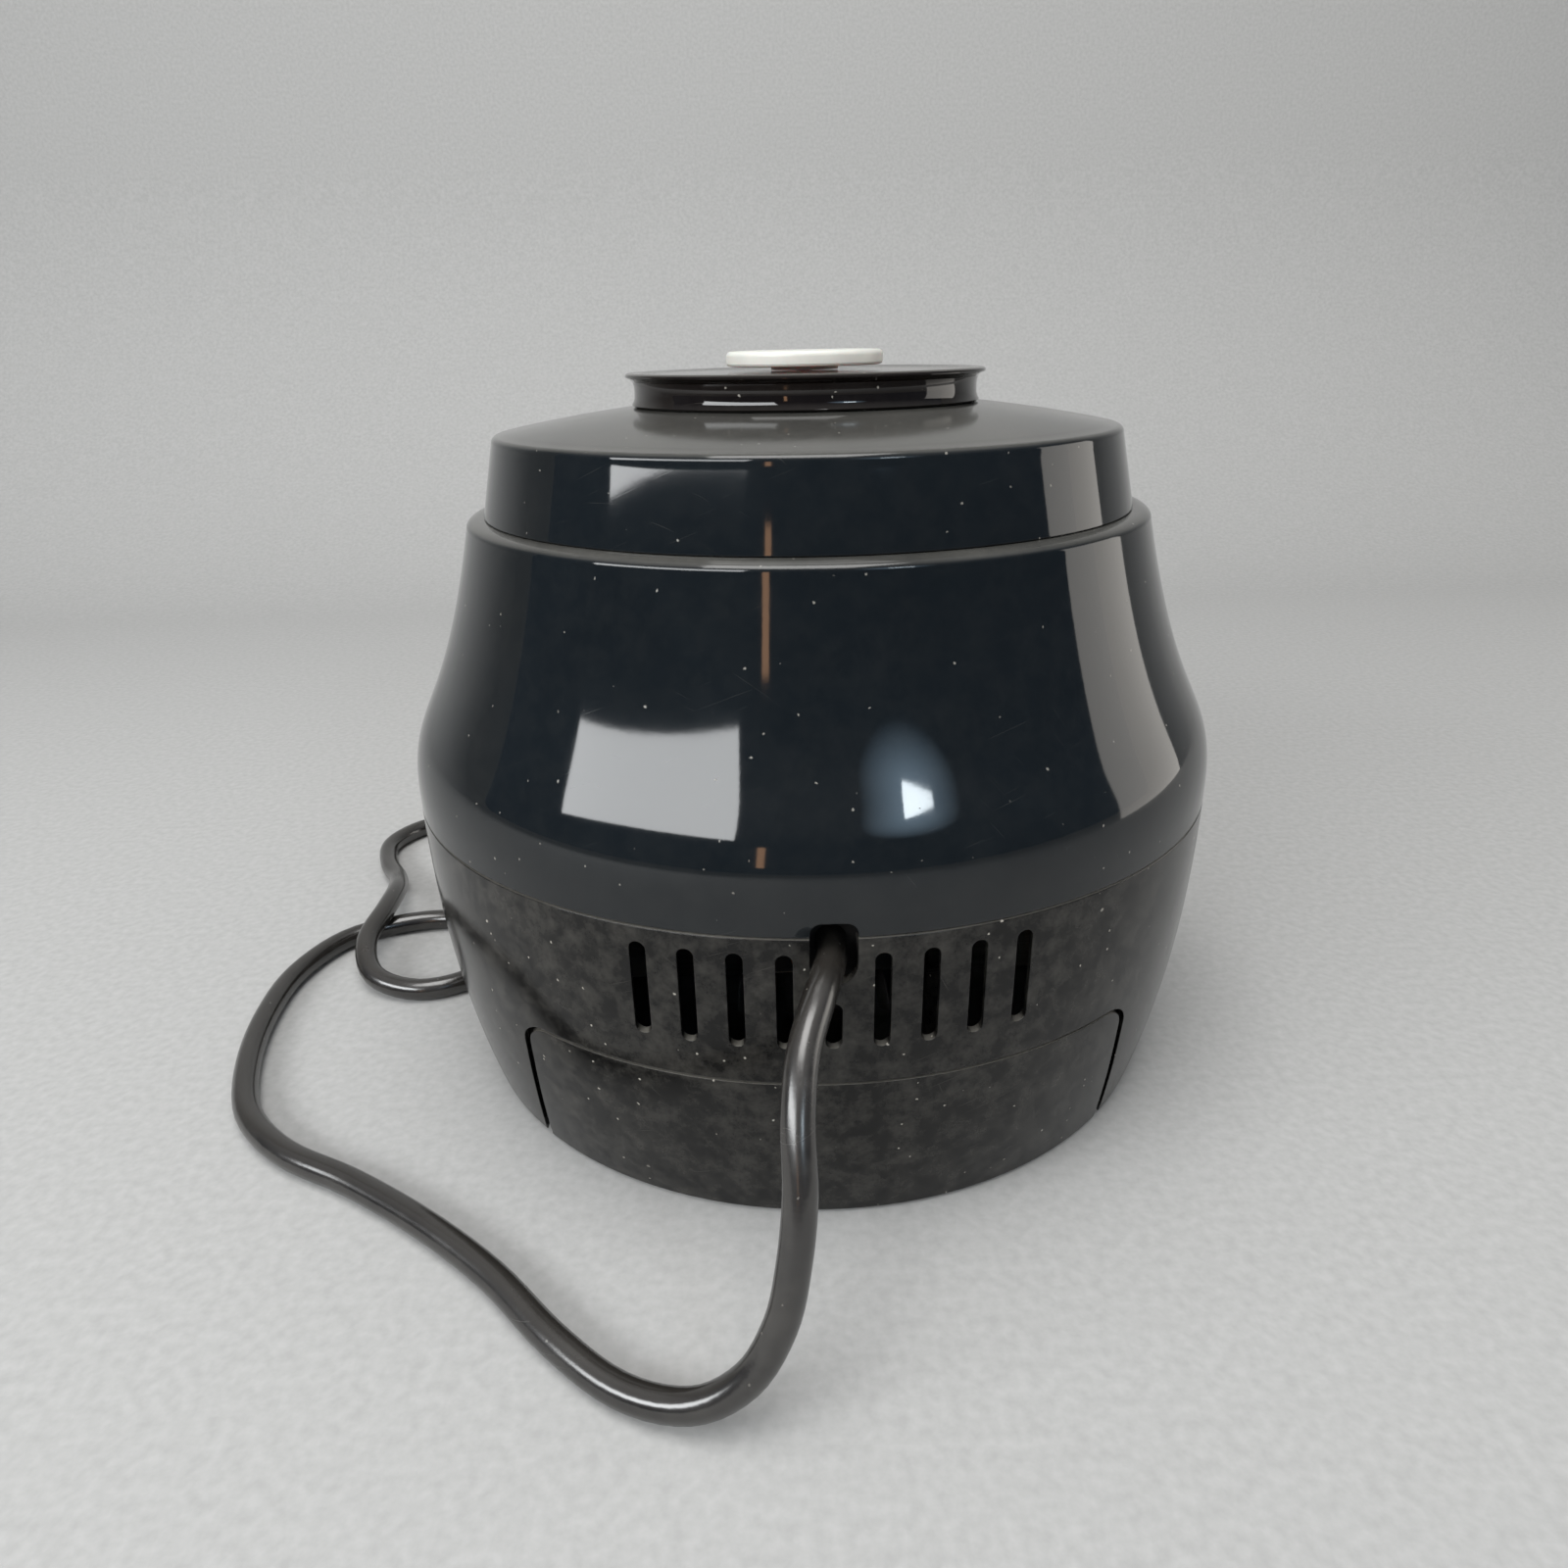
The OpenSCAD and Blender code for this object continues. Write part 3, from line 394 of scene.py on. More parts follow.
outline = [(belly_r - (belly_r - foot_r) * (1 - i / 28) ** 2.4, belly_z * i / 28) for i in range(29)]
outline += [(bezier(belly_r, belly_r, 139, lip_r, i / 64),
             bezier(belly_z, belly_z + 28.7, 140.7, lip_start_z, i / 64)) for i in range(1, 65)]
lip = [(lip_r - lip_depth * (1 - math.cos(math.radians(a))),
        lip_start_z + (ledge_z - lip_start_z) * math.sin(math.radians(a))) for a in range(9, 91, 9)]


def radius_at(z):
    """Radius of the body's outer skin at a height, in mm."""
    for (r0, z0), (r1, z1) in zip(outline, outline[1:]):
        if z <= z1:
            return r0 + (r1 - r0) * (z - z0) / (z1 - z0)
    return lip_r


def wall_points(inset, low, high):
    middle = [(r - inset, z) for r, z in outline if low + 0.05 < z < high - 0.05]
    return [(radius_at(low) - inset, low), *middle, (radius_at(high) - inset, high)]


def wall_band(outer, inner, low, high, start=None, sweep=360):
    """A band of the body's wall between two insets and two heights, whole or in part."""
    profile = wall_points(outer, low, high) + wall_points(inner, low, high)[::-1]
    if start is None:
        return turned(profile, steps=192, closed=True)
    shape = bmesh.new()
    c, s = math.cos(math.radians(start)), math.sin(math.radians(start))
    points = [shape.verts.new((r * c * mm, r * s * mm, z * mm)) for r, z in profile]
    lines = [shape.edges.new((points[i - 1], points[i])) for i in range(len(points))]
    bmesh.ops.spin(shape, geom=points + lines, cent=(0, 0, 0), axis=(0, 0, 1), dvec=(0, 0, 0),
                   angle=math.radians(sweep), steps=max(4, round(sweep / 1.875)), use_merge=False)
    bmesh.ops.holes_fill(shape, edges=shape.edges, sides=0)
    bmesh.ops.recalc_face_normals(shape, faces=shape.faces)
    return shape


def soften(shape, radius, height, size, segments=3):
    """Rounds the ring edge at that radius and height."""
    ring = [e for e in shape.edges if all(abs(math.hypot(v.co.x, v.co.y) - radius * mm) < 0.02 * mm
                                          and abs(v.co.z - height * mm) < 0.02 * mm for v in e.verts)]
    bmesh.ops.bevel(shape, geom=ring, offset=size * mm, offset_type="OFFSET", affect="EDGES",
                    segments=segments, profile=0.5, material=-1, clamp_overlap=True)


def bar(x0, x1, y0, y1, z0, z1, rounding=0.0, top=None):
    """A bar along Y with rounded long edges; top narrows its upper side to that half width."""
    shape = bmesh.new()
    bmesh.ops.create_cube(shape, size=1.0)
    for v in shape.verts:
        x, z = (x0, x1)[v.co.x > 0], (z0, z1)[v.co.z > 0]
        if top is not None and v.co.z > 0:
            x = math.copysign(top, x)
        v.co = (x * mm, (y0, y1)[v.co.y > 0] * mm, z * mm)
    if rounding:
        long_edges = [e for e in shape.edges if abs(e.verts[0].co.y - e.verts[1].co.y) > 0.5 * mm]
        bmesh.ops.bevel(shape, geom=long_edges, offset=rounding * mm, offset_type="OFFSET",
                        affect="EDGES", segments=8, profile=0.5, material=-1, clamp_overlap=True)
        bmesh.ops.remove_doubles(shape, verts=shape.verts, dist=0.003 * mm)
    return shape


def shape_object(shape, name="tool"):
    mesh = bpy.data.meshes.new(name)
    shape.to_mesh(mesh)
    shape.free()
    made = bpy.data.objects.new(name, mesh)
    bpy.context.scene.collection.objects.link(made)
    return made


def put_together(*shapes):
    """One bmesh that holds several separate shapes."""
    whole = bmesh.new()
    for shape in shapes:
        carried = bpy.data.meshes.new("carried")
        shape.to_mesh(carried)
        shape.free()
        whole.from_mesh(carried)
        bpy.data.meshes.remove(carried)
    return whole


def carve(shape, tool, operation="DIFFERENCE"):
    """The shape with the tool's shape taken away, or only what they share."""
    blank, cutter = shape_object(shape, "blank"), shape_object(tool)
    carving = blank.modifiers.new("carving", "BOOLEAN")
    carving.operation, carving.solver, carving.object = operation, "EXACT", cutter
    result = bpy.data.meshes.new_from_object(
        blank.evaluated_get(bpy.context.evaluated_depsgraph_get()))
    carved = bmesh.new()
    carved.from_mesh(result)
    for done in (blank, cutter):
        bpy.data.meshes.remove(done.data)
    bpy.data.meshes.remove(result)
    return carved


def even_gloss(piece, profile, inset=0.0):
    """Takes the skin's normals from the turned profile, so that a cut leaves no ripple in
    what the skin reflects."""
    samples = []
    slopes = [(Vector(b) - Vector(a)).normalized() for a, b in zip(profile, profile[1:])]
    for i, (a, b) in enumerate(zip(profile, profile[1:])):
        first = slopes[i] if i == 0 else (slopes[i - 1] + slopes[i]).normalized()
        last = slopes[i] if i == len(slopes) - 1 else (slopes[i] + slopes[i + 1]).normalized()
        for k in range(24):
            spot, slope = Vector(a).lerp(Vector(b), k / 24), first.lerp(last, k / 24).normalized()
            samples.append((spot.x - inset, spot.y, slope.y, -slope.x))
    tree = KDTree(len(samples))
    for i, (r, z, _, _) in enumerate(samples):
        tree.insert((r, z, 0), i)
    tree.balance()
    mesh, found = piece.data, {}
    for v in mesh.vertices:
        radius = math.hypot(v.co.x, v.co.y)
        _, i, _ = tree.find((radius / mm, v.co.z / mm, 0))
        r, z, out, up = samples[i]
        if abs((radius / mm - r) * out + (v.co.z / mm - z) * up) < 0.05:
            if abs((radius / mm - r) * up) + abs((v.co.z / mm - z) * out) < 0.3:
                found[v.index] = Vector((v.co.x / radius * out, v.co.y / radius * out, up))
    normals = [Vector((0, 0, 0))] * len(mesh.loops)
    for face in mesh.polygons:
        if all(v in found and found[v].dot(face.normal) > 0.97 for v in face.vertices):
            for corner in face.loop_indices:
                normals[corner] = found[mesh.loops[corner].vertex_index]
    mesh.normals_split_custom_set(normals)


def around(turn, radius):
    """X and Y of a point at that radius, turned from +X, in mm."""
    return radius * math.cos(math.radians(turn)), radius * math.sin(math.radians(turn))


def post(turn, circle, radius, low, high, bore):
    """An upright screw post with its bore."""
    x, y = around(turn, circle)
    shape = turned([(bore, low), (radius, low), (radius, high), (bore, high)], steps=24, closed=True)
    bmesh.ops.translate(shape, vec=(x * mm, y * mm, 0), verts=shape.verts)
    return shape


base_shape = wall_band(0, wall, base_z, seam_z - 0.4)
soften(base_shape, radius_at(seam_z - 0.4), seam_z - 0.4, 0.5)
soften(base_shape, radius_at(base_z), base_z, 0.9)
base_cuts = [bar(k * slot_pitch - slot_w / 2, k * slot_pitch + slot_w / 2, 125, 180, 74,
                 90 if k == 0 else 106.5, slot_w / 2 - 0.01) for k in range(-4, 5)]
base_cuts.append(bar(-notch_w / 2, notch_w / 2, 125, 180, notch_round_z - notch_w / 2, 140,
                     notch_w / 2 - 0.01))
base_cuts.append(bar(*door_opening, top=door_opening_top))
base_cuts.append(bar(-100.3, 100.3, -180, -60, 61.5, 76.5))
base_cuts.append(bar(-70, 70, -180, -60, 6, 58, 6))
base_shape = carve(base_shape, put_together(*base_cuts))
cover_pocket = carve(wall_band(-2, wall + 0.2, -3, cover_top + 4),
                     bar(-cover_half_w - 2.2, cover_half_w + 2.2, 60, 180, -20, cover_top + 1, 9.5),
                     "INTERSECT")
base_shape = carve(base_shape, cover_pocket)
backing = carve(wall_band(wall - 0.05, wall + 2.6, base_z + 4, cover_top + 8),
                bar(-cover_half_w - 7, cover_half_w + 7, 60, 180, -20, cover_top + 8, 12), "INTERSECT")
backing = carve(backing, bar(-82, 82, 111, 180, 12, 50, 6))
base_inside = [backing, wall_band(wall + 0.2, wall + 2, seam_z - 3, seam_z + 5, -26, 108)]
base_inside += [post(a, pillar_circle, 5, base_z + 4, seam_z - 0.4, 1.8) for a in pillar_angles]
base_inside += [post(a, boss_circle, 5, base_z + 4, 26, 1.6) for a in boss_angles]
base_shape = put_together(base_shape, *base_inside)
base_plastic = dusty_plastic("base_plastic", (0.0065, 0.0063, 0.006), 0.15, grain=650.0,
                             grain_depth=0.006, specks=0.75, film=0.3, hairlines=0.14, haze=0.06,
                             rounding=0.45, Specular_IOR_Level=0.28)
base_body = make_piece("base_body", base_shape, base_plastic, "root", "base_housing")
even_gloss(base_body, outline)


# ---------------------------------------------------------------- upper housing
# The upper half, in the same plastic with a polished mould face: an S-shaped shoulder that
# ends in a rounded lip, with the ledge that the warming tray hangs on.
ledge_hole_r = 109
upper_profile = wall_points(0, seam_z, lip_start_z) + lip
upper_profile += [(ledge_hole_r, ledge_z), (ledge_hole_r, ledge_z - wall)]
upper_profile += wall_points(wall, seam_z, ledge_z - wall)[::-1]
upper_shape = turned(upper_profile, steps=192, closed=True)
soften(upper_shape, radius_at(seam_z), seam_z, 0.5)
soften(upper_shape, ledge_hole_r, ledge_z, 0.6)
upper_cuts = put_together(bar(-notch_w / 2, notch_w / 2, 60, 180, 90, 116.6, 3.5),
                          bar(*door_opening, top=door_opening_top))
upper_shape = carve(upper_shape, upper_cuts)
upper_shape = put_together(upper_shape, *[post(a, pillar_circle, 5, seam_z,
                                               ledge_z - wall - 0.05, 1.6) for a in pillar_angles])
gloss_plastic = dusty_plastic("gloss_plastic", (0.0060, 0.0082, 0.0100), 0.045, grain=420.0,
                              grain_depth=0.0022, specks=0.38, film=0.15, hairlines=0.05, haze=0.006,
                              rounding=0.45)
upper_body = make_piece("upper_body", upper_shape, gloss_plastic, "root", "upper_housing")
even_gloss(upper_body, outline + lip)


# ---------------------------------------------------------------- rear cover
# A flush cover over the wiring at the foot of the rear, held by two hooks behind its
# upper edge; a dark gap runs round it.
cover_shape = carve(wall_band(0, wall - 0.2, base_z, cover_top),
                    bar(-cover_half_w, cover_half_w, 60, 180, -20, cover_top, 8), "INTERSECT")
hooks = []
for x in (-60, 60):
    hooks.append(bar(x - 6, x + 6, 122, 136, 45.6, 48))
    hooks.append(bar(x - 6, x + 6, 122, 125.9, 45.6, 51.6))
cover_shape = put_together(cover_shape, *[carve(h, wall_band(-12, 2.5, 20, 60)) for h in hooks])
cover_piece = make_piece("cover_panel", cover_shape, base_plastic, "root", "rear_cover")
even_gloss(cover_piece, outline)


# ---------------------------------------------------------------- bottom plate and feet
# A pierced zinc-plated sheet closes the bottom; four rubber feet are pushed into it and
# cross-head screws hold the housings together.
def zinc(name, colour, roughness):
    """Zinc plating: flat crystals of slightly different tone."""
    material, principled, place = new_material(name, Metallic=1.0)
    crystals = add(material, "TexVoronoi", {"Vector": place, "Scale": 95.0}, distance="MANHATTAN")
    shade = add(material, "SeparateColor", {"Color": crystals.outputs["Color"]}).outputs["Green"]
    cloud = add(material, "TexNoise", {"Vector": place, "Scale": 35.0, "Detail": 4.0}).outputs["Fac"]
    join(material, tint(material, shade, tuple(c * 0.8 for c in colour), colour), principled,
         "Base Color")
    rough = between(material, cloud, 0.3, 0.7, roughness, roughness + 0.12)
    join(material, raised(material, rough, shade, 0.1), principled, "Roughness")
    bump = add(material, "Bump", {"Height": cloud, "Distance": 0.02 * mm, "Strength": 0.4})
    join(material, bump.outputs["Normal"], principled, "Normal")
    return material


zinc_sheet = zinc("zinc_sheet", (0.58, 0.60, 0.62), 0.36)
foot_rubber = dusty_plastic("foot_rubber", (0.020, 0.020, 0.020), 0.75, grain=1100.0,
                            grain_depth=0.06, specks=0.3, film=0.3)
screw_steel = sheet_metal("screw_steel", (0.60, 0.60, 0.60), 0.30, along=(6, 6, 6))
dress(zinc_sheet, "bottom_plate")
dress(foot_rubber, "rubber_feet")
dress(screw_steel, "housing_screws")


# ---------------------------------------------------------------- cooking chamber
# A folded sheet-steel liner, open to the front, with a dark rim behind the door and a
# bright reflector screwed to its back wall.
liner_steel = sheet_metal("liner_steel", (0.60, 0.60, 0.59), 0.34, along=(1, 1, 30), marks=0.5,
                          stain=(0.36, 0.27, 0.17))
bezel_paint = dusty_plastic("bezel_paint", (0.030, 0.031, 0.033), 0.45, grain=800.0,
                            grain_depth=0.03, specks=0.1, film=0.1)
mirror_sheet = sheet_metal("mirror_sheet", (0.78, 0.78, 0.77), 0.14, along=(30, 1, 1), marks=0.4,
                           stain=(0.5, 0.4, 0.28))
dress(liner_steel, "chamber_liner")
dress(bezel_paint, "chamber_bezel")
dress(mirror_sheet, "rear_reflector")


# ---------------------------------------------------------------- heating element
# One sheathed rod bent into four runs, held off the reflector by ceramic holders and led
# through the side wall in ceramic bushes.
def ceramic(name, colour):
    """Unglazed fired ceramic: matt, finely pitted, slightly browned."""
    material, principled, place = new_material(name)
    pits = add(material, "TexNoise", {"Vector": place, "Scale": 1400.0, "Detail": 3.0}).outputs["Fac"]
    cloud = add(material, "TexNoise", {"Vector": place, "Scale": 60.0, "Detail": 4.0}).outputs["Fac"]
    browned = tuple(c * f for c, f in zip(colour, (0.62, 0.5, 0.36)))
    join(material, tint(material, between(material, cloud, 0.45, 0.7, 0.0, 0.6), colour, browned),
         principled, "Base Color")
    join(material, between(material, pits, 0.3, 0.7, 0.7, 0.95), principled, "Roughness")
    bump = add(material, "Bump", {"Height": pits, "Distance": 0.05 * mm, "Strength": 0.8})
    join(material, bump.outputs["Normal"], principled, "Normal")
    return material


element_sheath = sheet_metal("element_sheath", (0.20, 0.17, 0.15), 0.48, along=(1, 20, 20), marks=0.4,
                             stain=(0.26, 0.16, 0.10))
ceramic_white = ceramic("ceramic_white", (0.80, 0.77, 0.68))
dress(element_sheath, "heating_element")
dress(ceramic_white, "element_holders", "element_bushes")


# ---------------------------------------------------------------- tracks and rails
# The door's edges run in two dark glass-filled nylon tracks; the drip pan slides on two
# zinc-plated rails spot-welded to the chamber floor.
track_nylon = dusty_plastic("track_nylon", (0.030, 0.031, 0.032), 0.5, grain=900.0,
                            grain_depth=0.05, specks=0.1, film=0.15)
dress(track_nylon, "door_track_lower", "door_track_upper")
dress(zinc_sheet, "tray_rails")


# ---------------------------------------------------------------- drive
# A flat synchronous gear motor on a bracket at the side turns the spit; the far end of the
# spit runs in a nylon bearing.
nylon_natural = dusty_plastic("nylon_natural", (0.66, 0.62, 0.52), 0.42, grain=700.0,
                              grain_depth=0.04, specks=0.05, film=0.05, Subsurface_Weight=0.1)
motor_can = sheet_metal("motor_can", (0.52, 0.52, 0.50), 0.32, along=(6, 1, 1), marks=0.4)
dress(nylon_natural, "spit_bearing")
dress(motor_can, "gear_motor")
dress(zinc_sheet, "motor_bracket")
dress(screw_steel, "motor_screws")


# ---------------------------------------------------------------- controls
# A recessed black panel with the timer on one side and the thermostat on the other, each in
# a phenolic case behind it, and an amber lamp between their knobs.
phenolic = dusty_plastic("phenolic", (0.40, 0.33, 0.22), 0.5, grain=900.0, grain_depth=0.05,
                         specks=0.05, film=0.1)
panel_plastic = dusty_plastic("panel_plastic", (0.011, 0.011, 0.012), 0.34, grain=1300.0,
                              grain_depth=0.02, specks=0.2, film=0.3, hairlines=0.2, rounding=0.35)
knob_plastic = dusty_plastic("knob_plastic", (0.014, 0.014, 0.015), 0.36, grain=1200.0,
                             grain_depth=0.02, specks=0.2, film=0.3, rounding=0.5)
shaft_steel = sheet_metal("shaft_steel", (0.66, 0.66, 0.66), 0.25, along=(1, 12, 1))
lamp_amber, lamp_shader, lamp_place = new_material("lamp_amber", Roughness=0.08,
                                                   Transmission_Weight=0.55, IOR=1.5)
lamp_flutes = add(lamp_amber, "TexNoise", {"Vector": lamp_place, "Scale": 420.0, "Detail": 2.0})
join(lamp_amber, tint(lamp_amber, lamp_flutes.outputs["Fac"], (0.62, 0.16, 0.02), (0.80, 0.26, 0.04)),
     lamp_shader, "Base Color")
lamp_bump = add(lamp_amber, "Bump", {"Height": lamp_flutes.outputs["Fac"], "Distance": 0.05 * mm})
join(lamp_amber, lamp_bump.outputs["Normal"], lamp_shader, "Normal")
dress(phenolic, "timer_body", "thermostat_body")
dress(panel_plastic, "control_panel")
dress(knob_plastic, "timer_knob", "heat_knob")
dress(shaft_steel, "timer_shaft", "heat_shaft")
dress(lamp_amber, "power_lamp")


# The dial marks are printed in off-white: ticks round each knob, with plain numbers.
def print_ink(name, colour):
    material, principled, place = new_material(name)
    worn = add(material, "TexNoise", {"Vector": place, "Scale": 700.0, "Detail": 4.0}).outputs["Fac"]
    join(material, tint(material, between(material, worn, 0.55, 0.75), colour,
                        tuple(c * 0.35 for c in colour)), principled, "Base Color")
    join(material, between(material, worn, 0.3, 0.7, 0.4, 0.6), principled, "Roughness")
    return material


dial_ink = print_ink("dial_ink", (0.70, 0.70, 0.66))
ink_face, knob_x, knob_z, number_circle = -124.03, 36.0, 32.0, 21.2


def dial_marks(name, middle, sweep, ticks, numbers):
    """Ticks and numbers on the panel's face round one knob, clockwise from the lower left."""
    marks = bmesh.new()
    for i in range(ticks):
        turn = math.radians(90 + sweep / 2 - sweep * i / (ticks - 1))
        long = i % 5 == 0 or ticks < 12
        tick = bmesh.ops.create_cube(marks, size=1.0)["verts"]
        hub = Matrix.Translation((middle * mm, ink_face * mm, knob_z * mm))
        bmesh.ops.transform(marks, verts=tick,
                            matrix=hub @ Matrix.Rotation(-turn, 4, "Y")
                            @ Matrix.Translation(((18.2 if long else 17.8) * mm, 0, 0))
                            @ Matrix.Diagonal(((1.9 if long else 1.1) * mm, 0.06 * mm, 0.35 * mm, 1)))
    for word, share in numbers:
        turn = math.radians(90 + sweep / 2 - sweep * share)
        letters = bpy.data.curves.new("number", "FONT")
        letters.body, letters.size = word, 3.4 * mm
        letters.align_x, letters.align_y = "CENTER", "CENTER"
        letters.extrude = 0.02 * mm
        number = bpy.data.objects.new("number", letters)
        bpy.context.scene.collection.objects.link(number)
        flat = bpy.data.meshes.new_from_object(
            number.evaluated_get(bpy.context.evaluated_depsgraph_get()))
        flat.transform(Matrix.Translation(((middle + number_circle * math.cos(turn)) * mm,
                                           ink_face * mm,
                                           (knob_z + number_circle * math.sin(turn)) * mm))
                       @ Matrix.Rotation(math.radians(90), 4, "X"))
        marks.from_mesh(flat)
        bpy.data.objects.remove(number)
        bpy.data.meshes.remove(flat)
    return make_piece(name, marks, dial_ink, "root", None)


dial_marks("timer_marks", -knob_x, 270, 13, [("0", 0), ("15", 0.25), ("30", 0.5), ("45", 0.75),
                                             ("60", 1)])
dial_marks("heat_marks", knob_x, 240, 5, [("1", 0), ("2", 0.25), ("3", 0.5), ("4", 0.75), ("5", 1)])


def knob_pointer(name, middle, body):
    """The off-white line printed thickly on the upper end of a knob's grip."""
    line = bar(middle - 0.7, middle + 0.7, -137.08, -136.4, knob_z + 4.5, knob_z + 13.2, 0.3)
    return make_piece(name, line, dial_ink, body, None)


knob_pointer("timer_pointer", -knob_x, "timer_dial")
knob_pointer("heat_pointer", knob_x, "heat_dial")


# ---------------------------------------------------------------- wiring
# The lead's cores, in sleeves, run from the clamp behind the notch to a thermoset terminal block
# on the chamber's back, coloured near-black as painted shade for what the vent slots show; a thermal
# cut-out sits beside it.
wire_sleeve = dusty_plastic("wire_sleeve", (0.26, 0.12, 0.06), 0.5, grain=900.0, grain_depth=0.05,
                            specks=0.05, film=0.1)
clamp_plastic_and_vent_shade = dusty_plastic("clamp_plastic_and_vent_shade", (0.016, 0.016, 0.016), 0.5, grain=900.0,
                              grain_depth=0.04, specks=0.1, film=0.2)
dress(zinc_sheet, "thermal_cutout")
# near-black: the cord clamp's own dark plastic, and on the terminal block painted shade for the dark
# inside the vent slots
dress(clamp_plastic_and_vent_shade, "cord_clamp", "terminal_block")
dress(wire_sleeve, "mains_wires")


# ---------------------------------------------------------------- door
# A curved glossy frame with a smoked glass pane behind it; the whole door turns round the
# chamber inside the housings, pulled by an upright grip on two stems.
door_shape = carve(wall_band(4, 7, 80, 204.8, 210, 120), bar(-90, 90, -180, -20, 98, 188, 8, top=68))
door_gloss = dusty_plastic("door_gloss", (0.008, 0.009, 0.010), 0.08, grain=420.0,
                           grain_depth=0.003, specks=0.25, film=0.3, rounding=0.45)
door_piece = make_piece("door_surround", door_shape, door_gloss, "door", "door_frame")
even_gloss(door_piece, outline, 4.0)
smoked_glass, glass_shader, glass_place = new_material(
    "smoked_glass", IOR=1.5, Transmission_Weight=1.0)
glass_smear = add(smoked_glass, "TexNoise", {"Vector": glass_place, "Scale": 30.0, "Detail": 6.0})
join(smoked_glass, between(smoked_glass, glass_smear.outputs["Fac"], 0.45, 0.75, 0.0, 0.05),
     glass_shader, "Roughness")
join(smoked_glass, tint(smoked_glass, between(smoked_glass, glass_smear.outputs["Fac"], 0.3, 0.7),
                        (0.82, 0.78, 0.73), (0.87, 0.84, 0.80)), glass_shader, "Base Color")
glass_shape = wall_band(7.05, 9.4, 90, 196, 224, 87)
glass_piece = make_piece("door_pane", glass_shape, smoked_glass, "door", "door_glass")
even_gloss(glass_piece, outline, 7.05)
handle_plastic = dusty_plastic("handle_plastic", (0.014, 0.014, 0.015), 0.26, grain=900.0,
                               grain_depth=0.015, specks=0.2, film=0.3, rounding=0.6)
dress(handle_plastic, "door_handle")
dress(screw_steel, "handle_screws")


# ---------------------------------------------------------------- drip drawer
# A shallow enamelled steel pan held behind a plastic front with a finger lip; it slides on
# the rails at the foot of the chamber.
pan_enamel, enamel_shader, enamel_place = new_material("pan_enamel", Coat_Weight=0.4,
                                                       Coat_Roughness=0.12)
flecks = add(pan_enamel, "TexVoronoi", {"Vector": enamel_place, "Scale": 420.0})
fleck = between(pan_enamel, flecks.outputs["Distance"], 0.22, 0.10)
enamel_cloud = add(pan_enamel, "TexNoise", {"Vector": enamel_place, "Scale": 30.0, "Detail": 5.0})
join(pan_enamel, tint(pan_enamel, fleck, (0.035, 0.036, 0.040), (0.42, 0.42, 0.42)), enamel_shader,
     "Base Color")
join(pan_enamel, between(pan_enamel, enamel_cloud.outputs["Fac"], 0.35, 0.7, 0.18, 0.36),
     enamel_shader, "Roughness")
enamel_bump = add(pan_enamel, "Bump", {"Height": enamel_cloud.outputs["Fac"], "Distance": 0.1 * mm})
join(pan_enamel, enamel_bump.outputs["Normal"], enamel_shader, "Normal")
dress(pan_enamel, "drip_pan")
dress(panel_plastic, "drawer_front")


# ---------------------------------------------------------------- spit
# A chromed rod with two four-pronged forks, each held by a thumb screw, and the steel
# socket that drives it.
chrome = sheet_metal("chrome", (0.72, 0.72, 0.73), 0.10, along=(1, 10, 10), marks=0.25,
                     relief=0.004, stain=(0.50, 0.40, 0.26))
dress(chrome, "spit_rod", "fork_left", "fork_right", "thumb_screws")
dress(shaft_steel, "drive_socket")


# ---------------------------------------------------------------- warming tray
# A pierced, pressed aluminium tray that hangs by its rim on the upper housing's ledge. The
# lid rests on it.
tray_aluminium = sheet_metal("tray_aluminium", (0.70, 0.71, 0.72), 0.30, along=(4, 4, 4), marks=0.5,
                             stain=(0.48, 0.42, 0.32))
dress(tray_aluminium, "warming_tray")


# ---------------------------------------------------------------- lid
# A drum-shaped lid in the polished plastic: a nearly upright side, a thin rounded upper edge,
# a shallow crown, and a dish in the middle that the grip sits in. A steel sheet lines it.
lid_foot_r, lid_edge_r, lid_foot_z, edge_z = 117.3, 112.0, ledge_z + 0.2, 236.6
lid_wall, spindle_hole_r = 2.5, 3.06


def crown(r):
    return 249.7 - 0.0009 * r * r


def lid_line(t):
    """The lid's section from its foot to the spindle's hole, moved in by t."""
    side = [(lid_foot_r - t + (lid_edge_r - lid_foot_r) * i / 12,
             lid_foot_z + (edge_z - lid_foot_z) * i / 12) for i in range(13)]
    edge = [(lid_edge_r - t - 2.6 * (1 - math.cos(math.radians(a))),
             edge_z + (2.2 - t * 0.6) * math.sin(math.radians(a))) for a in range(10, 91, 10)]
    top = [(r, crown(r) - t) for r in range(106, 59, -2)]
    return side + edge + top + [(59.2, crown(60) - t - 0.5), (57.4, 245.0 - t), (56, 244.6 - t),
                                (spindle_hole_r, 244.6 - t)]


lid_skin = lid_line(0)
lid_shape = turned(lid_skin + lid_line(lid_wall)[::-1], steps=192, closed=True)
soften(lid_shape, lid_foot_r, lid_foot_z, 0.4)
lid_holes = []
for turn in range(0, 360, 90):
    drill = bmesh.new()
    x, y = around(turn, 20)
    bmesh.ops.create_cone(drill, cap_ends=True, segments=32, radius1=2 * mm, radius2=2 * mm,
                          depth=0.03, matrix=Matrix.Translation((x * mm, y * mm, 0.245)))
    lid_holes.append(drill)
lid_shape = carve(lid_shape, put_together(*lid_holes))
lid_piece = make_piece("lid_drum", lid_shape, gloss_plastic, "lid", "lid_shell")
even_gloss(lid_piece, lid_skin[:-3])
dress(liner_steel, "lid_liner")


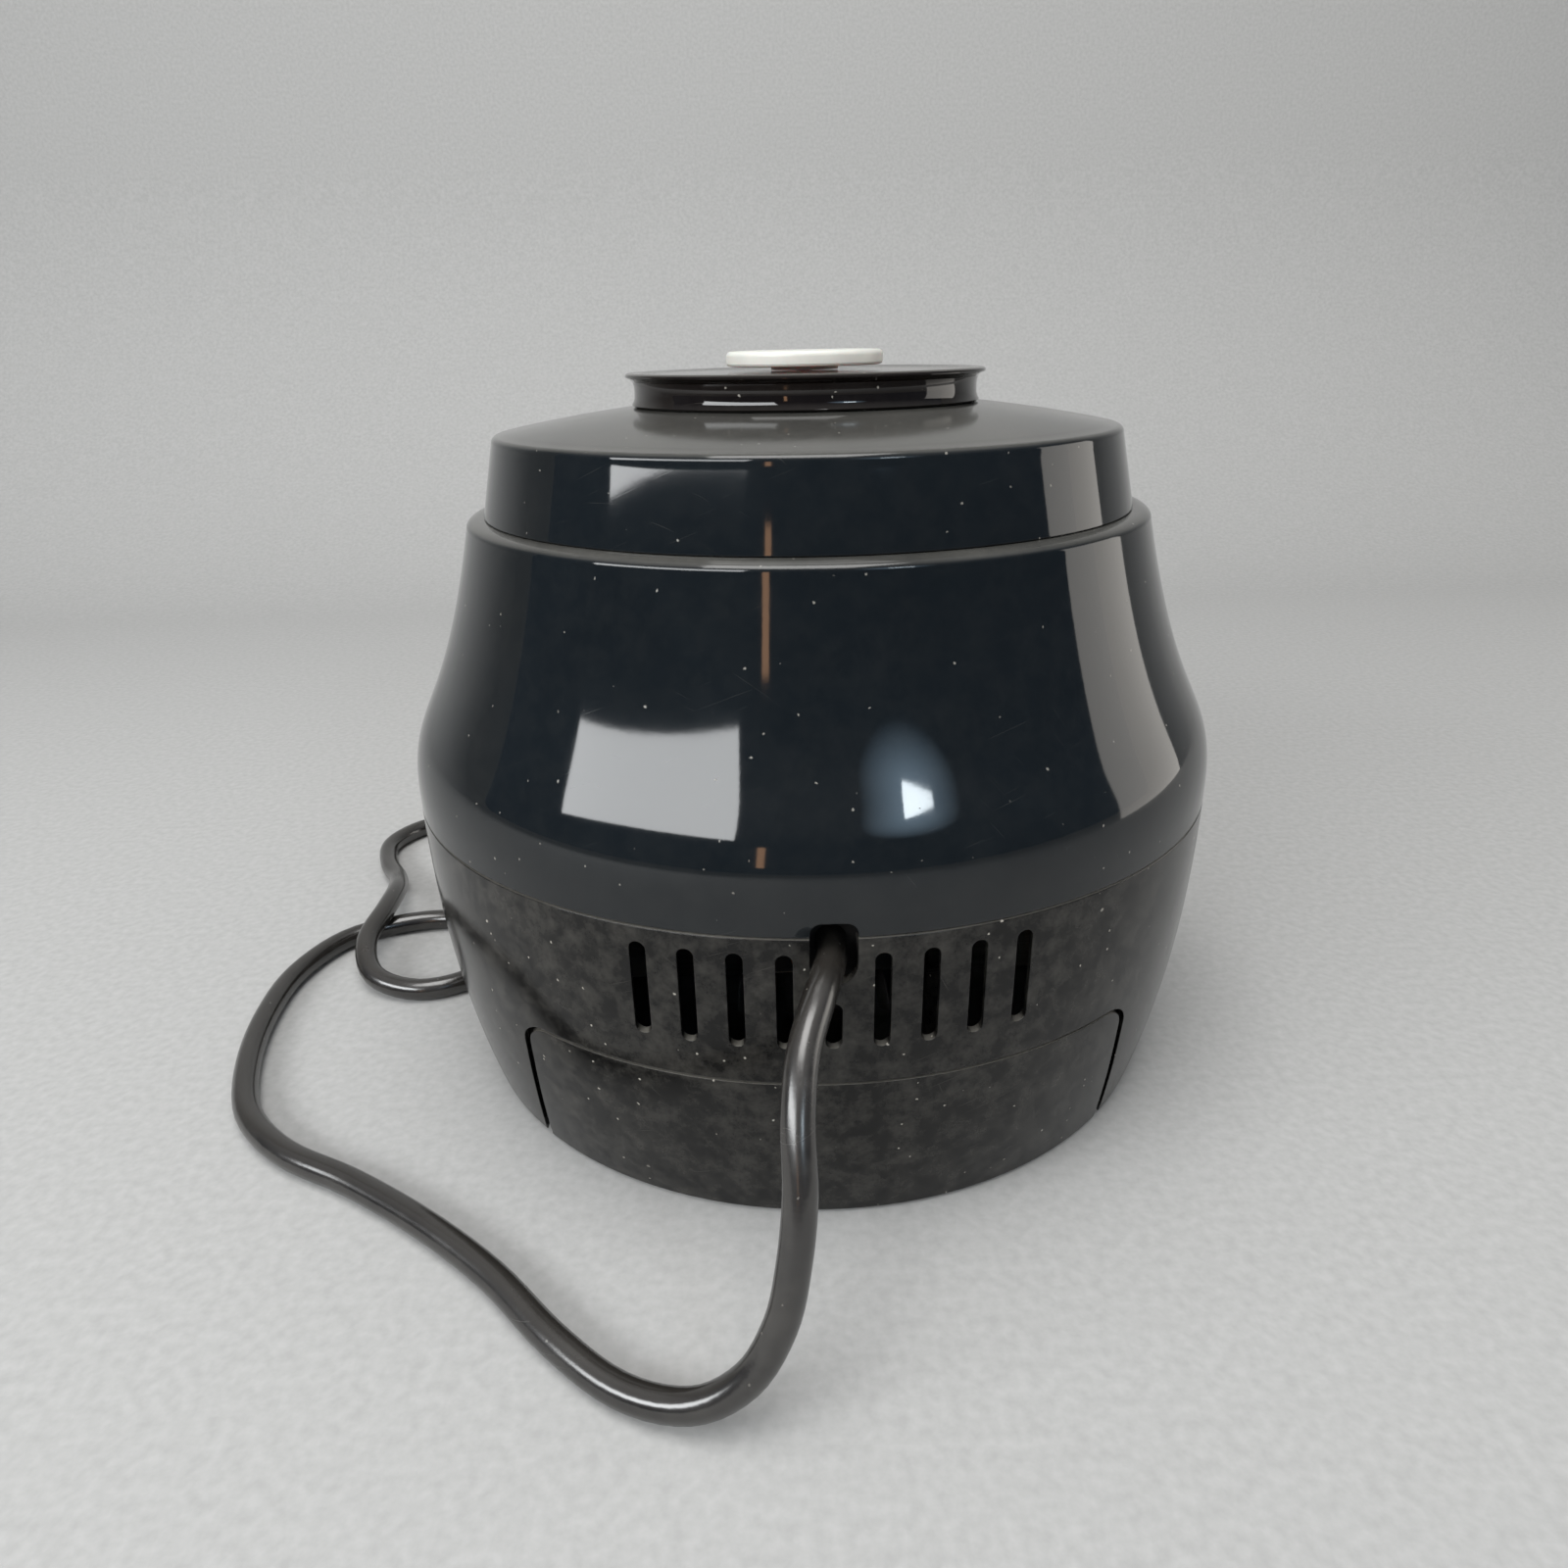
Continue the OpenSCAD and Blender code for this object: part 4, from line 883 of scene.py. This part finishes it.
# ---------------------------------------------------------------- grip disc
# A dish moulded in very dark brown gloss plastic, set upside down, whose flared rim is the
# lid's grip; four screws hold it from inside.
disc_r, disc_foot = 64.2, crown(61.5) + 0.25
disc_profile = [(59, disc_foot), (61.3, disc_foot), (61.9, disc_foot + 0.3), (62.3, 247.2),
                (61.7, 248.2), (61.3, 249.4), (61.2, 251.5), (61.3, 253.4), (61.7, 254.8),
                (62.6, 255.6), (63.6, 256.0), (64.1, 256.3), (disc_r, 256.7), (64.0, 257.2),
                (63.4, 257.6), (62.6, 257.7), (60, 257.65), (57.5, 257.3), (55, 257.3), (30, 257.4),
                (spindle_hole_r, 257.4), (spindle_hole_r, 254.8), (56, 254.8), (58, 254.2),
                (59, 252)]
disc_shape = turned(disc_profile, steps=160, closed=True)
disc_bosses = [post(a, 44, 4, 244.65, 255.2, 1.5) for a in (45, 135, 225, 315)]
disc_bosses.append(turned([(spindle_hole_r, 244.65), (8, 244.65), (8, 255.2),
                           (spindle_hole_r, 255.2)], 40, closed=True))
disc_shape = put_together(disc_shape, *disc_bosses)
disc_smoke = dusty_plastic("disc_smoke", (0.0065, 0.0040, 0.0032), 0.04, grain=420.0,
                           grain_depth=0.002, specks=0.6, film=0.12, hairlines=0.08, haze=0.008)
make_piece("grip", disc_shape, disc_smoke, "lid", "grip_disc")
dress(screw_steel, "disc_screws")


# ---------------------------------------------------------------- vent cap
# A round cap moulded in satin off-white plastic, pressed onto a steel spindle; turning it
# opens the holes under it.
cap_r = 28.0
cap_edge = [(cap_r - 1.6 * (1 - math.cos(math.radians(a))), 262.2 + 1.8 * math.sin(math.radians(a)))
            for a in range(0, 91, 10)]
cap_profile = [(0, 257.7), (12, 257.7), (12, 259), (cap_r - 1.2, 259), (cap_r - 0.5, 259.25),
               (cap_r - 0.05, 259.9), *cap_edge, (cap_r - 4, 264.12), (cap_r - 8, 264.2), (0, 264.2)]
cap_white = dusty_plastic("cap_white", (0.74, 0.73, 0.68), 0.38, grain=900.0, grain_depth=0.02,
                          specks=0.0, film=0.12, hairlines=0.0, Subsurface_Weight=0.08)
make_piece("cap", turned(cap_profile, steps=128), cap_white, "vent_dial", "vent_cap")
dress(shaft_steel, "vent_spindle")
